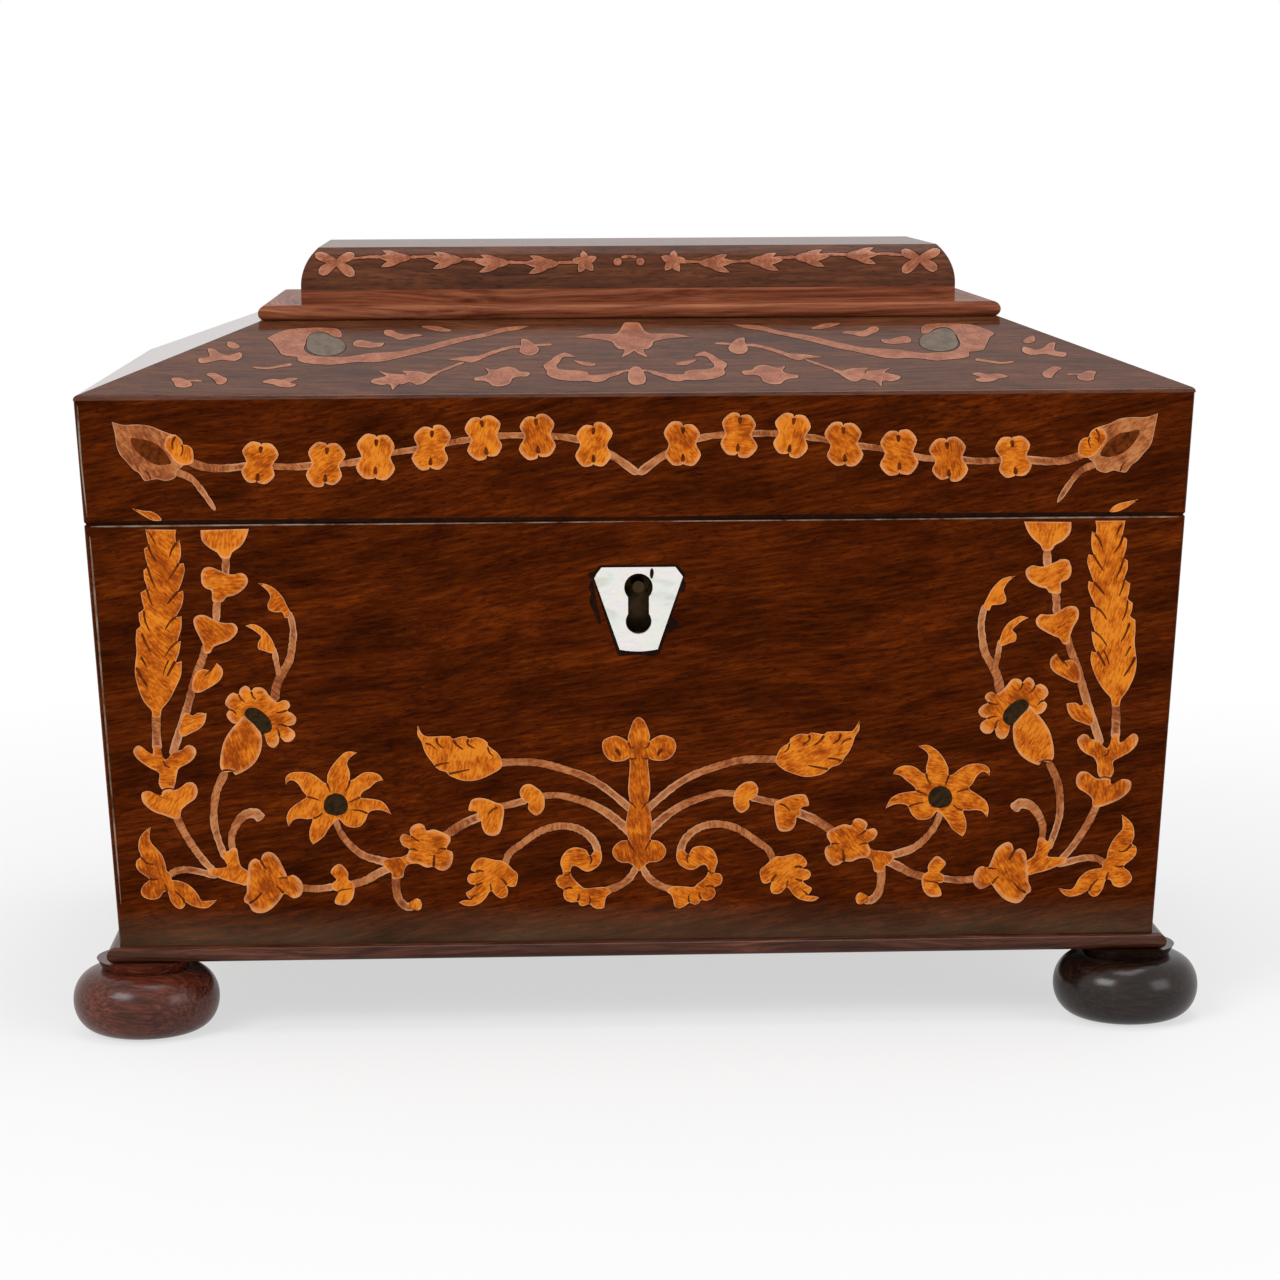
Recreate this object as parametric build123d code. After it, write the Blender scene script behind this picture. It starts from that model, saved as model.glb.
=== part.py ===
from build123d import *
import math
import os

# A marquetry box: a case on four bun feet and a hipped lid with a pillow top.
# +X is to the right, +Y to the back, +Z up. The origin is on the floor, under the middle of the box.

os.makedirs("parts", exist_ok=True)

# Sizes of the whole box, in millimetres
eave_width = 280.0
eave_depth = 185.0
face_lean = 0.05
foot_height = 19.0
base_moulding_height = 4.0
case_height = 109.0
lid_wall_height = 32.0
slope_inset = 43.5
slope_rise = 16.0
top_moulding_height = 4.0
plinth_height = 3.5
pillow_height = 11.0

# Thicknesses of the woodwork
veneer_thickness = 1.0
board_thickness = 8.0
bottom_board_thickness = 6.0
slope_board_thickness = 6.0
lining_thickness = 1.5
lining_drop = 1.0
ceiling_drop = 8.0
corner_round = 1.5
eave_round = 1.3
seam_bevel = 0.5

# Mouldings, plinth, pillow and feet
base_moulding_overhang = 3.0
base_moulding_width = 20.0
top_moulding_overhang = 0.4
top_moulding_width = 16.0
plinth_inset = 10.3
pillow_draw = 4.5
pillow_swell = 1.2
foot_radius = 18.7
foot_base_radius = 11.0
foot_neck_height = 2.6
foot_collar_radius = 12.5
foot_inset = 6.0
foot_spigot_radius = 5.0
foot_spigot_clearance = 0.1
foot_spigot_head_room = 0.5

# Hinges
hinge_spacing = 150.0
hinge_length = 38.0
hinge_leaf_width = 6.5
hinge_leaf_thickness = 1.0
hinge_axis_inset = 1.2
knuckle_radius = 2.0
knuckle_count = 3
knuckle_side_gap = 0.12
knuckle_clearance = 0.15
hinge_pin_radius = 0.9
hinge_pin_clearance = 0.05
lid_opening_angle = 100.0
stop_clearance_angle = 1.0

# Lock, measured on the leaning front face: across, up from the seam and in from the surface
lock_plate_width = 56.0
lock_cap_width = 43.0
lock_height = 30.0
lock_wood_left = 2.0
lock_plate_thickness = 1.5
lock_cap_wall = 1.0
lock_fit = 0.1
bolt_thickness = 2.4
bolt_travel = 3.5
bolt_play = 0.4
bolt_body_height = 5.4
bolt_finger_width = 2.5
link_leg_width = 2.0
link_toe_length = 3.5
link_toe_height = 2.0
link_length = 7.0
link_thickness = 1.6
link_spacing = 18.0
link_slot_clearance = 0.6
link_plate_width = 40.0
drill_pin_radius = 1.5
ward_radius = 4.0
ward_wall = 0.8
ward_height = 1.2
spring_thickness = 0.5
spring_width = 1.8
spring_bow = 4.0
cap_foot_gap = 1.0
link_foot_gap = 0.6
lock_pin_clearance = 0.05

# Escutcheon and keyhole, measured down from the seam
escutcheon_top = 12.0
escutcheon_bottom = 33.3
escutcheon_top_width = 18.8
escutcheon_width = 22.6
escutcheon_bottom_width = 9.8
escutcheon_clip = 2.5
escutcheon_foot_swell = 0.5
keyhole_pin_drop = 17.3
keyhole_foot_drop = 26.0
keyhole_top_radius = 3.6
keyhole_foot_radius = 3.25
keyhole_waist = 5.3
keyhole_clearance = 0.3

# Marquetry: the saw's gap round each piece, and the bare rosewood left round each picture
saw_gap = 0.1
front_side_margin = 4.2
front_foot_margin = 6.0
garland_side_margin = 6.6
garland_top_margin = 5.8
slope_side_margin = 22.0
slope_top_margin = 4.9

# How far a cutter reaches past what it cuts
cut_spare = 1.0

# Heights worked out from the sizes above
case_floor_z = foot_height + base_moulding_height
seam_z = case_floor_z + case_height
eave_z = seam_z + lid_wall_height
plateau_z = eave_z + slope_rise
top_moulding_z = plateau_z + top_moulding_height
plinth_z = top_moulding_z + plinth_height
pillow_z = plinth_z + pillow_height
wall_thickness = veneer_thickness + board_thickness
slope_thickness = veneer_thickness + slope_board_thickness
board_floor_z = case_floor_z + bottom_board_thickness
plateau_width = eave_width - 2 * slope_inset
plateau_depth = eave_depth - 2 * slope_inset


def save(name, shape):
    export_step(shape, f"parts/{name}.step")


def half_width(height):
    return eave_width / 2 - face_lean * (eave_z - height)


def half_depth(height):
    return eave_depth / 2 - face_lean * (eave_z - height)


def crossed(outline):
    """The solid that has the outline both from the front and from the side."""
    from_front = extrude(Plane.XZ * outline(half_width), amount=eave_depth, both=True)
    from_side = extrude(Plane.YZ * outline(half_depth), amount=eave_width, both=True)
    return from_front & from_side


def tapered_block(low, high, inset):
    """A block between two heights whose four faces lean with the box, set in from them."""

    def outline(half):
        bottom = half(low) - inset
        top = half(high) - inset
        return Polygon((-bottom, low), (bottom, low), (top, high), (-top, high), align=None)

    return crossed(outline)


def under_slopes(drop):
    """Everything above the seam and under the four slopes, which are lowered by drop."""
    reach = slope_inset / 4
    fall = reach * slope_rise / slope_inset

    def outline(half):
        edge = half(eave_z) + reach
        top = half(eave_z) - slope_inset
        low_corner = eave_z - fall - drop
        high_corner = plateau_z - drop
        return Polygon(
            (-edge, seam_z),
            (edge, seam_z),
            (edge, low_corner),
            (top, high_corner),
            (-top, high_corner),
            (-edge, low_corner),
            align=None,
        )

    return crossed(outline)


def wedge(side):
    """The quarter of the plan that belongs to one side, cut at the mitres."""
    spare = eave_depth
    x = eave_width / 2 + spare
    y = eave_depth / 2 + spare
    ridge = (eave_width - eave_depth) / 2
    corners = {
        "front": [(-x, -y), (x, -y), (ridge, 0), (-ridge, 0)],
        "back": [(x, y), (-x, y), (-ridge, 0), (ridge, 0)],
        "left": [(-x, y), (-x, -y), (-ridge, 0)],
        "right": [(x, -y), (x, y), (ridge, 0)],
    }
    return extrude(Polygon(*corners[side], align=None), amount=pillow_z + spare)


sides = ("front", "back", "left", "right")
wedges = {side: wedge(side) for side in sides}


def nosed_section(half, low, height, width):
    """A rail's section on the low side of a frame, with a half-round outer edge."""
    radius = height / 2
    straight = Polyline(
        (-half + radius, low),
        (-half + width, low),
        (-half + width, low + height),
        (-half + radius, low + height),
    )
    nose = ThreePointArc((-half + radius, low + height), (-half, low + radius), (-half + radius, low))
    return make_face(straight.edges() + nose.edges())


def rail(side, half_x, half_y, section):
    """One mitred rail of a frame, drawn on the front or the left and mirrored to the other side."""
    if side in ("front", "back"):
        bar = extrude(Plane.YZ * section(half_y), amount=eave_width, both=True) & wedges["front"]
        return bar if side == "front" else mirror(bar, about=Plane.XZ)
    bar = extrude(Plane.XZ * section(half_x), amount=eave_width, both=True) & wedges["left"]
    return bar if side == "left" else mirror(bar, about=Plane.YZ)


def leaning_edges(shape):
    """The corner edges, which run nearly upright."""
    return shape.edges().filter_by(lambda edge: abs(edge.tangent_at(0.5).Z) > 0.7)


def rod(radius, length, x, y, z):
    """A rod along X, centred on a point."""
    return Pos(x, y, z) * Rot(0, 90, 0) * Cylinder(radius, length)


def as_one(shapes):
    return Compound(children=[solid for shape in shapes for solid in shape.solids()])


# The leaning front face, with its origin on the seam, and the front slope, with its origin on the eave
front_face = Plane(origin=(0, -half_depth(seam_z), seam_z), x_dir=(1, 0, 0), z_dir=(0, -1, -face_lean))
slope_face = Plane(origin=(0, -eave_depth / 2, eave_z), x_dir=(1, 0, 0), z_dir=(0, -slope_rise, slope_inset))
face_share = 1 / math.hypot(1, face_lean)
slope_share = slope_inset / math.hypot(slope_inset, slope_rise)


def block_on(plane, left, right, low, high, outer, inner):
    """A block on a face: from left to right, from low to high, and in from the surface."""
    block = Box(right - left, high - low, inner - outer, align=(Align.MIN, Align.MIN, Align.MAX))
    return plane * Pos(left, low, -outer) * block


room = 4 * eave_width
above_seam = Pos(0, 0, seam_z) * Box(room, room, room, align=(Align.CENTER, Align.CENTER, Align.MIN))
below_seam = Pos(0, 0, seam_z) * Box(room, room, room, align=(Align.CENTER, Align.CENTER, Align.MAX))


# Outlines of the marquetry, each drawn about its own origin; gap draws the piece inside its hole
def leaf(length, width, gap=0.0):
    """Two arcs from a foot at the origin to a tip straight above it."""
    pull = gap / math.sin(2 * math.atan(width / length))
    foot = (0, pull)
    tip = (0, length - pull)
    half = width / 2 - gap
    right = ThreePointArc(foot, (half, length / 2), tip)
    left = ThreePointArc(tip, (-half, length / 2), foot)
    return make_face(right.edges() + left.edges())


def scroll(length, outer_rise, inner_rise, gap=0.0):
    """A crescent from the origin to a second tip along X; a rise below zero curves it down."""
    side = math.copysign(1, outer_rise)
    outer_turn = 2 * math.atan(2 * abs(outer_rise) / length)
    inner_turn = 2 * math.atan(2 * abs(inner_rise) / length)
    pull = gap / math.sin((outer_turn - inner_turn) / 2)
    middle_turn = (outer_turn + inner_turn) / 2
    along = pull * math.cos(middle_turn)
    up = side * pull * math.sin(middle_turn)
    first = (along, up)
    second = (length - along, up)
    outer = ThreePointArc(first, (length / 2, outer_rise - side * gap), second)
    inner = ThreePointArc(second, (length / 2, inner_rise + side * gap), first)
    return make_face(outer.edges() + inner.edges())


def flower(petals, radius, waist, gap=0.0):
    """Blunt petals about the origin, the first one pointing along X."""
    step = 360 / petals
    corners = []
    for petal in range(petals):
        for reach, share in ((waist, -0.5), (radius, -0.22), (radius, 0.22)):
            turn = math.radians((petal + share) * step)
            corners.append(((reach - gap) * math.cos(turn), (reach - gap) * math.sin(turn)))
    return make_face(Polyline(*corners, close=True).edges())


def star(points, radius, waist, gap=0.0):
    """Pointed petals about the origin, the first one pointing along Y."""
    corners = []
    for corner in range(2 * points):
        reach = radius - 2 * gap if corner % 2 == 0 else waist - gap
        turn = math.radians(90 + corner * 180 / points)
        corners.append((reach * math.cos(turn), reach * math.sin(turn)))
    return make_face(Polyline(*corners, close=True).edges())


def tulip(width, height, gap=0.0):
    """A cup with three points, standing on the origin."""
    half = width / 2
    foot = (0, 1.5 * gap)
    side = 0.92 * half - gap
    corner = (half - gap, height - 3 * gap)
    valley = (0.45 * half, 0.66 * height - 1.6 * gap)
    tip = (0, 0.97 * height - 2 * gap)
    right = ThreePointArc(foot, (side, 0.4 * height), corner)
    left = ThreePointArc((-corner[0], corner[1]), (-side, 0.4 * height), foot)
    rim = Polyline(corner, valley, tip, (-valley[0], valley[1]), (-corner[0], corner[1]))
    return make_face(right.edges() + rim.edges() + left.edges())


def ear(length, width, teeth, gap=0.0):
    """A long saw-edged leaf from a foot at the origin to a tip straight above it."""
    half = width / 2
    step = length / (teeth + 1)
    right = [(0, 3 * gap)]
    for tooth in range(teeth):
        swell = math.sin(math.pi * (tooth + 1.2) / (teeth + 1.4))
        right.append((half * swell - 1.5 * gap, step * (tooth + 1.15)))
        right.append((half * swell * 0.62 - 1.5 * gap, step * (tooth + 1.25)))
    left = [(-x, y) for x, y in reversed(right[1:])]
    corners = right + [(0, length - 3 * gap)] + left
    return make_face(Polyline(*corners, close=True).edges())


# The marquetry of the front, right half: outline, its sizes, place across and up from the seam, and turn
front_pairs = [
    (flower, (6, 7.3, 5.0), 94.0, -94.0, 30),
    (star, (6, 13.0, 5.4), 77.0, -73.5, 0),
    (tulip, (14.0, 12.6), 39.0, -88.5, 180),
    (flower, (5, 6.4, 4.2), 54.5, -82.0, 18),
    (flower, (5, 10.0, 6.3), 118.5, -91.5, 54),
    (flower, (3, 5.6, 2.4), 119.5, -72.5, 90),
    (flower, (3, 5.0, 2.2), 121.0, -60.5, 90),
    (ear, (45.0, 12.0, 5), 121.5, -4.0, 183),
    (flower, (6, 6.6, 4.8), 96.2, -49.5, 0),
    (tulip, (10.0, 10.5), 101.5, -68.5, 4),
    (flower, (5, 4.8, 3.2), 104.5, -7.0, 90),
    (tulip, (8.0, 8.0), 104.8, -19.8, 5),
    (tulip, (7.6, 7.6), 107.3, -32.0, 8),
    (leaf, (10.5, 4.4), 110.0, -45.5, 28),
    (scroll, (27.6, -6.6, -3.9), 94.9, -16.0, -84),
    (leaf, (21.6, 9.6), 36.5, -62.5, -66),
    (scroll, (31.5, 4.4, 2.2), 3.6, -73.0, 14),
    (scroll, (20.5, 3.4, 1.6), 4.0, -81.0, 22),
    (scroll, (18.0, -4.2, -2.2), 19.5, -80.0, -24),
    (scroll, (14.0, 5.6, 3.2), 8.0, -90.0, -28),
    (scroll, (15.0, -5.0, -2.6), 8.5, -93.5, -32),
    (scroll, (14.0, -3.6, -1.8), 63.0, -90.5, 24),
]

# The marquetry on the middle line of the front
front_middle = [
    (flower, (4, 5.0, 2.5), 0.0, -53.0, 0),
    (leaf, (22.0, 6.0), 0.0, -82.5, 0),
    (flower, (5, 4.4, 3.0), 0.0, -88.0, 90),
    (leaf, (9.5, 4.0), 2.6, -60.5, -72),
    (leaf, (9.5, 4.0), -2.6, -60.5, 72),
]

# The garland of the lid's front, right half, up from the seam
garland_pairs = [
    (leaf, (23.0, 13.0), 108.8, 19.5, -90),
    (scroll, (17.0, 3.4, 1.6), 106.5, 2.5, 100),
    (flower, (4, 5.6, 2.6), 94.8, 15.2, 20),
    (flower, (4, 5.4, 2.5), 78.5, 15.0, 10),
    (flower, (4, 5.2, 2.4), 65.6, 17.2, 0),
    (flower, (4, 5.4, 2.5), 52.2, 18.8, 14),
    (flower, (4, 5.6, 2.6), 38.6, 20.6, 40),
    (flower, (4, 5.4, 2.5), 25.0, 20.8, 20),
    (flower, (4, 5.6, 2.6), 10.9, 18.4, 35),
]

# The marquetry of the front slope, right half, up from the eave
slope_pairs = [
    (scroll, (19.0, 6.2, 3.4), 4.0, 8.0, 10),
    (scroll, (16.0, -5.6, -3.2), 26.0, 14.0, -8),
    (flower, (5, 4.6, 3.0), 47.0, 18.0, 0),
    (scroll, (25.0, 9.0, 5.6), 58.0, 24.0, 0),
    (scroll, (15.0, -5.4, -3.2), 86.0, 25.0, -18),
    (flower, (4, 4.6, 2.4), 80.0, 12.0, 20),
    (leaf, (16.0, 6.4), 118.0, 6.5, 62),
]

slope_middle = [(star, (6, 7.4, 3.2), 0.0, 34.0, 0)]


def marquetry(plane, thickness, pairs, middle, half_room, height_room):
    """The inlaid pieces on a face and the holes that they fit, both sides of the middle line.
    The picture spreads to fill its room, and its pieces shrink where that brings them closer."""
    drawn = [
        Pos(across, up) * Rot(0, 0, turn) * outline(*sizes)
        for outline, sizes, across, up, turn in pairs + middle
    ]
    box = Compound(children=drawn).bounding_box()
    across_share = half_room / box.max.X
    up_share = height_room / max(box.max.Y, -box.min.Y)
    share = min(across_share, up_share)

    def cut_out(entry, gap, depth, both):
        outline, sizes, across, up, turn = entry
        flat = scale(outline(*sizes, gap / share), by=share)
        placed = plane * Pos(across * across_share, up * up_share) * Rot(0, 0, turn) * flat
        return extrude(placed, amount=depth, dir=tuple(-plane.z_dir), both=both)

    pieces = [cut_out(entry, saw_gap, thickness, False) for entry in middle]
    holes = [cut_out(entry, 0.0, 2 * thickness, True) for entry in middle]
    for entry in pairs:
        piece = cut_out(entry, saw_gap, thickness, False)
        hole = cut_out(entry, 0.0, 2 * thickness, True)
        pieces += [piece, mirror(piece, about=Plane.YZ)]
        holes += [hole, mirror(hole, about=Plane.YZ)]
    return pieces, holes


front_pieces, front_holes = marquetry(
    front_face,
    veneer_thickness * face_share,
    front_pairs,
    front_middle,
    half_width(case_floor_z) - front_side_margin,
    case_height - front_foot_margin,
)
garland_pieces, garland_holes = marquetry(
    front_face,
    veneer_thickness * face_share,
    garland_pairs,
    [],
    half_width(seam_z) - garland_side_margin,
    lid_wall_height - garland_top_margin,
)
slope_pieces, slope_holes = marquetry(
    slope_face,
    veneer_thickness * slope_share,
    slope_pairs,
    slope_middle,
    half_width(eave_z) - slope_side_margin,
    math.hypot(slope_inset, slope_rise) - slope_top_margin,
)
save("case_front_inlay", as_one(front_pieces))
save("lid_front_inlay", as_one(garland_pieces))
save("slope_front_inlay", as_one(slope_pieces))

# The hinge axis runs along X in the seam, a little inside the back face
axis_y = half_depth(seam_z) - hinge_axis_inset
knuckle_length = hinge_length / knuckle_count
hinge_places = (-hinge_spacing / 2, hinge_spacing / 2)


def stop_bevel(upward):
    """What is planed off a back edge, so that the open lid rests bevel on bevel."""
    reach = 4 * hinge_axis_inset
    angle = (lid_opening_angle + stop_clearance_angle) / 2
    rise = reach * math.tan(math.radians(angle)) * (1 if upward else -1)
    corners = [(axis_y, seam_z), (axis_y + reach, seam_z), (axis_y + reach, seam_z + rise)]
    return extrude(Plane.YZ * make_face(Polyline(*corners, close=True).edges()), amount=eave_width, both=True)


def hinge_recess(upward):
    """What both hinges take out of a back edge: the bed of the leaf and the groove of the knuckle."""
    cuts = []
    bed_depth = hinge_leaf_width + lock_fit
    bed_length = hinge_length + 2 * lock_fit
    align = (Align.CENTER, Align.MAX, Align.MIN if upward else Align.MAX)
    for place in hinge_places:
        bed = Box(bed_length, bed_depth, hinge_leaf_thickness, align=align)
        cuts.append(Pos(place, axis_y, seam_z) * bed)
        cuts.append(rod(knuckle_radius + knuckle_clearance, bed_length, place, axis_y, seam_z))
    return cuts


def hinge_leaf(place, upward):
    """One brass leaf with its knuckles: the odd ones on the case, the even ones on the lid."""
    edge = axis_y - knuckle_radius - knuckle_clearance
    plate_width = hinge_leaf_width - knuckle_radius - knuckle_clearance
    align = (Align.CENTER, Align.MAX, Align.MIN if upward else Align.MAX)
    leaf_plate = Pos(place, edge, seam_z) * Box(hinge_length, plate_width, hinge_leaf_thickness, align=align)
    own_length = knuckle_length - knuckle_side_gap
    tongue_width = knuckle_radius + knuckle_clearance
    for knuckle in range(knuckle_count):
        on_lid = knuckle % 2 == 1
        if on_lid != upward:
            continue
        middle = place - hinge_length / 2 + (knuckle + 0.5) * knuckle_length
        tongue = Box(own_length, tongue_width, hinge_leaf_thickness, align=align)
        leaf_plate += Pos(middle, axis_y, seam_z) * tongue
        leaf_plate += rod(knuckle_radius, own_length, middle, axis_y, seam_z)
    return leaf_plate - rod(hinge_pin_radius + hinge_pin_clearance, 2 * hinge_length, place, axis_y, seam_z)


for hinge_side, hinge_place in zip(("left", "right"), hinge_places):
    save(f"hinge_{hinge_side}_case_leaf", hinge_leaf(hinge_place, False))
    save(f"hinge_{hinge_side}_lid_leaf", hinge_leaf(hinge_place, True))
    save(f"hinge_{hinge_side}_pin", rod(hinge_pin_radius, hinge_length, hinge_place, axis_y, seam_z))

# Depths of the lock's layers, in from the surface of the front
wall_in = wall_thickness * face_share
cap_out = wall_in - (board_thickness - lock_wood_left)
plate_out = wall_in - lock_plate_thickness
bolt_middle = (cap_out + lock_cap_wall + plate_out) / 2
bolt_out = bolt_middle - bolt_thickness / 2
bolt_in = bolt_middle + bolt_thickness / 2
seam_spare = 0.5

# Heights of the lock's pieces, up from the seam
link_foot = -link_length
link_toe_top = link_foot + link_toe_height
finger_low = link_toe_top + bolt_play
finger_high = -lock_plate_thickness - 2 * bolt_play
bolt_top = link_foot - link_foot_gap
bolt_low = bolt_top - bolt_body_height
link_legs = (-link_spacing / 2, link_spacing / 2)


def keyhole(extra=0.0):
    """The keyhole's outline on the front: a round head over a round foot, joined by a waist."""
    waist_length = keyhole_foot_drop - keyhole_pin_drop
    waist_middle = -(keyhole_pin_drop + keyhole_foot_drop) / 2
    head = Pos(0, -keyhole_pin_drop) * Circle(keyhole_top_radius + extra)
    foot = Pos(0, -keyhole_foot_drop) * Circle(keyhole_foot_radius + extra)
    waist = Pos(0, waist_middle) * Rectangle(keyhole_waist + 2 * extra, waist_length)
    return head + waist + foot


def keyhole_cut(extra=0.0):
    return extrude(front_face * keyhole(extra), amount=plate_out - lock_fit, dir=tuple(-front_face.z_dir))


def escutcheon_outline(gap=0.0):
    """The shield: clipped top corners, tapering sides and a slightly curved foot."""
    top = -escutcheon_top - gap
    low = -escutcheon_bottom + gap
    clip = top - escutcheon_clip
    top_half = escutcheon_top_width / 2 - gap
    wide = escutcheon_width / 2 - gap
    foot_half = escutcheon_bottom_width / 2 - gap
    shoulders = [(-foot_half, low), (-wide, clip), (-top_half, top), (top_half, top), (wide, clip)]
    sides_line = Polyline(*shoulders, (foot_half, low))
    foot = ThreePointArc((foot_half, low), (0, low - escutcheon_foot_swell), (-foot_half, low))
    return make_face(sides_line.edges() + foot.edges())


def escutcheon_block(gap, depth):
    return extrude(front_face * escutcheon_outline(gap), amount=depth, dir=tuple(-front_face.z_dir))


save("escutcheon", escutcheon_block(saw_gap, veneer_thickness * face_share) - keyhole_cut())


def link_slots():
    """The two slots in the selvedge that the lid's hooks drop into."""
    slots = []
    for leg in link_legs:
        left = leg - link_leg_width / 2 - link_toe_length - link_slot_clearance
        right = leg + link_leg_width / 2 + link_slot_clearance
        outer = bolt_middle - link_thickness / 2 - link_slot_clearance
        inner = bolt_middle + link_thickness / 2 + link_slot_clearance
        slots.append(block_on(front_face, left, right, -2 * lock_plate_thickness, cut_spare, outer, inner))
    return slots


def drill_pin(extra=0.0):
    length = wall_in - veneer_thickness
    pin = Cylinder(drill_pin_radius + extra, length, align=(Align.CENTER, Align.CENTER, Align.MIN))
    return front_face * Pos(0, -keyhole_pin_drop, -wall_in) * pin


def lock_plate():
    """The lock's back plate, seen from inside the case, with the selvedge along the rim."""
    half_plate = lock_plate_width / 2
    half_cap = lock_cap_width / 2
    plate = block_on(front_face, -half_plate, half_plate, -lock_height, seam_spare, plate_out, wall_in)
    plate += block_on(front_face, -half_cap, half_cap, -lock_plate_thickness, seam_spare, cap_out, wall_in)
    plate = (plate & below_seam) - link_slots()
    return (plate - drill_pin(lock_pin_clearance)) + lock_ward()


def lock_cap():
    """The thin cover over the works, open at the top, with the keyhole through it."""
    half = lock_cap_width / 2
    low = cap_foot_gap - lock_height
    inner = half - lock_cap_wall
    floor = low + lock_cap_wall
    cap = block_on(front_face, -half, half, low, -lock_plate_thickness, cap_out, plate_out)
    cap -= block_on(front_face, -inner, inner, floor, 0, cap_out + lock_cap_wall, wall_in)
    return cap - keyhole_cut(keyhole_clearance)


def lock_bolt():
    """The sliding bolt with its two hooked fingers, drawn back, and the notch for the key."""
    toe_tips = [leg - link_leg_width / 2 - link_toe_length - bolt_play for leg in link_legs]
    left_end = toe_tips[0] - link_toe_length - bolt_finger_width
    right_end = link_legs[1] + link_leg_width / 2 + 2 * link_leg_width
    bolt = block_on(front_face, left_end, right_end, bolt_low, bolt_top, bolt_out, bolt_in)
    for tip in toe_tips:
        root = tip - link_toe_length
        bolt += block_on(front_face, root - bolt_finger_width, root, bolt_top, finger_high, bolt_out, bolt_in)
        bolt += block_on(front_face, root, tip, finger_low, finger_high, bolt_out, bolt_in)
    notch_depth = bolt_in + cut_spare
    notch = Pos(-bolt_travel / 2, bolt_low) * Circle(keyhole_foot_radius)
    return bolt - extrude(front_face * notch, amount=notch_depth, dir=tuple(-front_face.z_dir))


def lock_spring():
    """A bowed leaf spring on the cap's side wall, bearing on the bolt's lower edge."""
    wall = lock_cap_width / 2 - lock_cap_wall
    crown = bolt_low - lock_pin_clearance
    length = wall - ward_radius - 3 * spring_thickness
    foot = crown - spring_bow
    first = (wall, foot)
    last = (wall - length, foot)
    top = (wall - length / 2, crown)
    lower_first = (wall, foot - spring_thickness)
    lower_last = (wall - length, foot - spring_thickness)
    lower_top = (wall - length / 2, crown - spring_thickness)
    edges = ThreePointArc(first, top, last).edges() + Line(last, lower_last).edges()
    edges += ThreePointArc(lower_last, lower_top, lower_first).edges() + Line(lower_first, first).edges()
    strip = front_face * Pos(0, 0, -(bolt_middle - spring_width / 2)) * make_face(edges)
    return extrude(strip, amount=spring_width, dir=tuple(-front_face.z_dir))


def lock_ward():
    """A three-quarter ring round the drill pin that turns away a wrong key."""
    ring = Cylinder(ward_radius, ward_height) - Cylinder(ward_radius - ward_wall, ward_height)
    mouth = Pos(0, -ward_radius) * Box(ward_radius, 2 * ward_radius, ward_height)
    place = front_face * Pos(0, -keyhole_pin_drop, -(plate_out - ward_height / 2))
    return place * (ring - mouth)


def link_plate():
    """The plate let into the lid's front edge, with the two hooks that the bolt catches."""
    half = link_plate_width / 2
    outer = bolt_middle - link_thickness / 2
    inner = bolt_middle + link_thickness / 2
    plate = block_on(front_face, -half, half, -seam_spare, lock_plate_thickness, cap_out, wall_in)
    plate &= above_seam
    for leg in link_legs:
        left = leg - link_leg_width / 2
        right = leg + link_leg_width / 2
        plate += block_on(front_face, left, right, link_foot, seam_spare, outer, inner)
        plate += block_on(front_face, left - link_toe_length, left, link_foot, link_toe_top, outer, inner)
    return plate


save("lock_plate", lock_plate())
save("lock_cap", lock_cap())
save("lock_bolt", lock_bolt())
save("lock_spring", lock_spring())
save("lock_drill_pin", drill_pin())
save("link_plate", link_plate())

# What the lock takes out of the case's front board
half_cap_pocket = lock_cap_width / 2 + lock_fit
half_plate_pocket = lock_plate_width / 2 + lock_fit
lock_pockets = [
    block_on(
        front_face,
        -half_cap_pocket,
        half_cap_pocket,
        -lock_height,
        cut_spare,
        cap_out - lock_fit,
        2 * wall_in,
    ),
    block_on(
        front_face,
        -half_plate_pocket,
        half_plate_pocket,
        -lock_height - lock_fit,
        cut_spare,
        plate_out - lock_fit,
        2 * wall_in,
    ),
]
half_link_pocket = link_plate_width / 2 + lock_fit
link_pocket = block_on(
    front_face,
    -half_link_pocket,
    half_link_pocket,
    -cut_spare,
    lock_plate_thickness,
    cap_out - lock_fit,
    2 * wall_in,
)

# Case: four mitred boards, their veneers and the bottom board
case_outer = tapered_block(case_floor_z, seam_z, 0)
case_outer = fillet(leaning_edges(case_outer), corner_round)
case_outer = chamfer(case_outer.faces().sort_by(Axis.Z)[-1].edges(), seam_bevel)
case_core = tapered_block(case_floor_z, seam_z, veneer_thickness)
case_room = tapered_block(case_floor_z - cut_spare, seam_z + cut_spare, wall_thickness)
case_veneers = case_outer - case_core
case_boards = case_core - case_room
case_back_cuts = [stop_bevel(False), *hinge_recess(False)]

for side in sides:
    board = case_boards & wedges[side]
    veneer = case_veneers & wedges[side]
    if side == "front":
        board = board - lock_pockets - keyhole_cut(keyhole_clearance)
        veneer = veneer - front_holes - escutcheon_block(0, 2 * veneer_thickness)
    else:
        board = board - case_back_cuts
        veneer = veneer - case_back_cuts
    save(f"case_{side}_board", board)
    save(f"case_{side}_veneer", veneer)

bottom_board = tapered_block(case_floor_z, board_floor_z, wall_thickness)
save("case_bottom_board", bottom_board)

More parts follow.
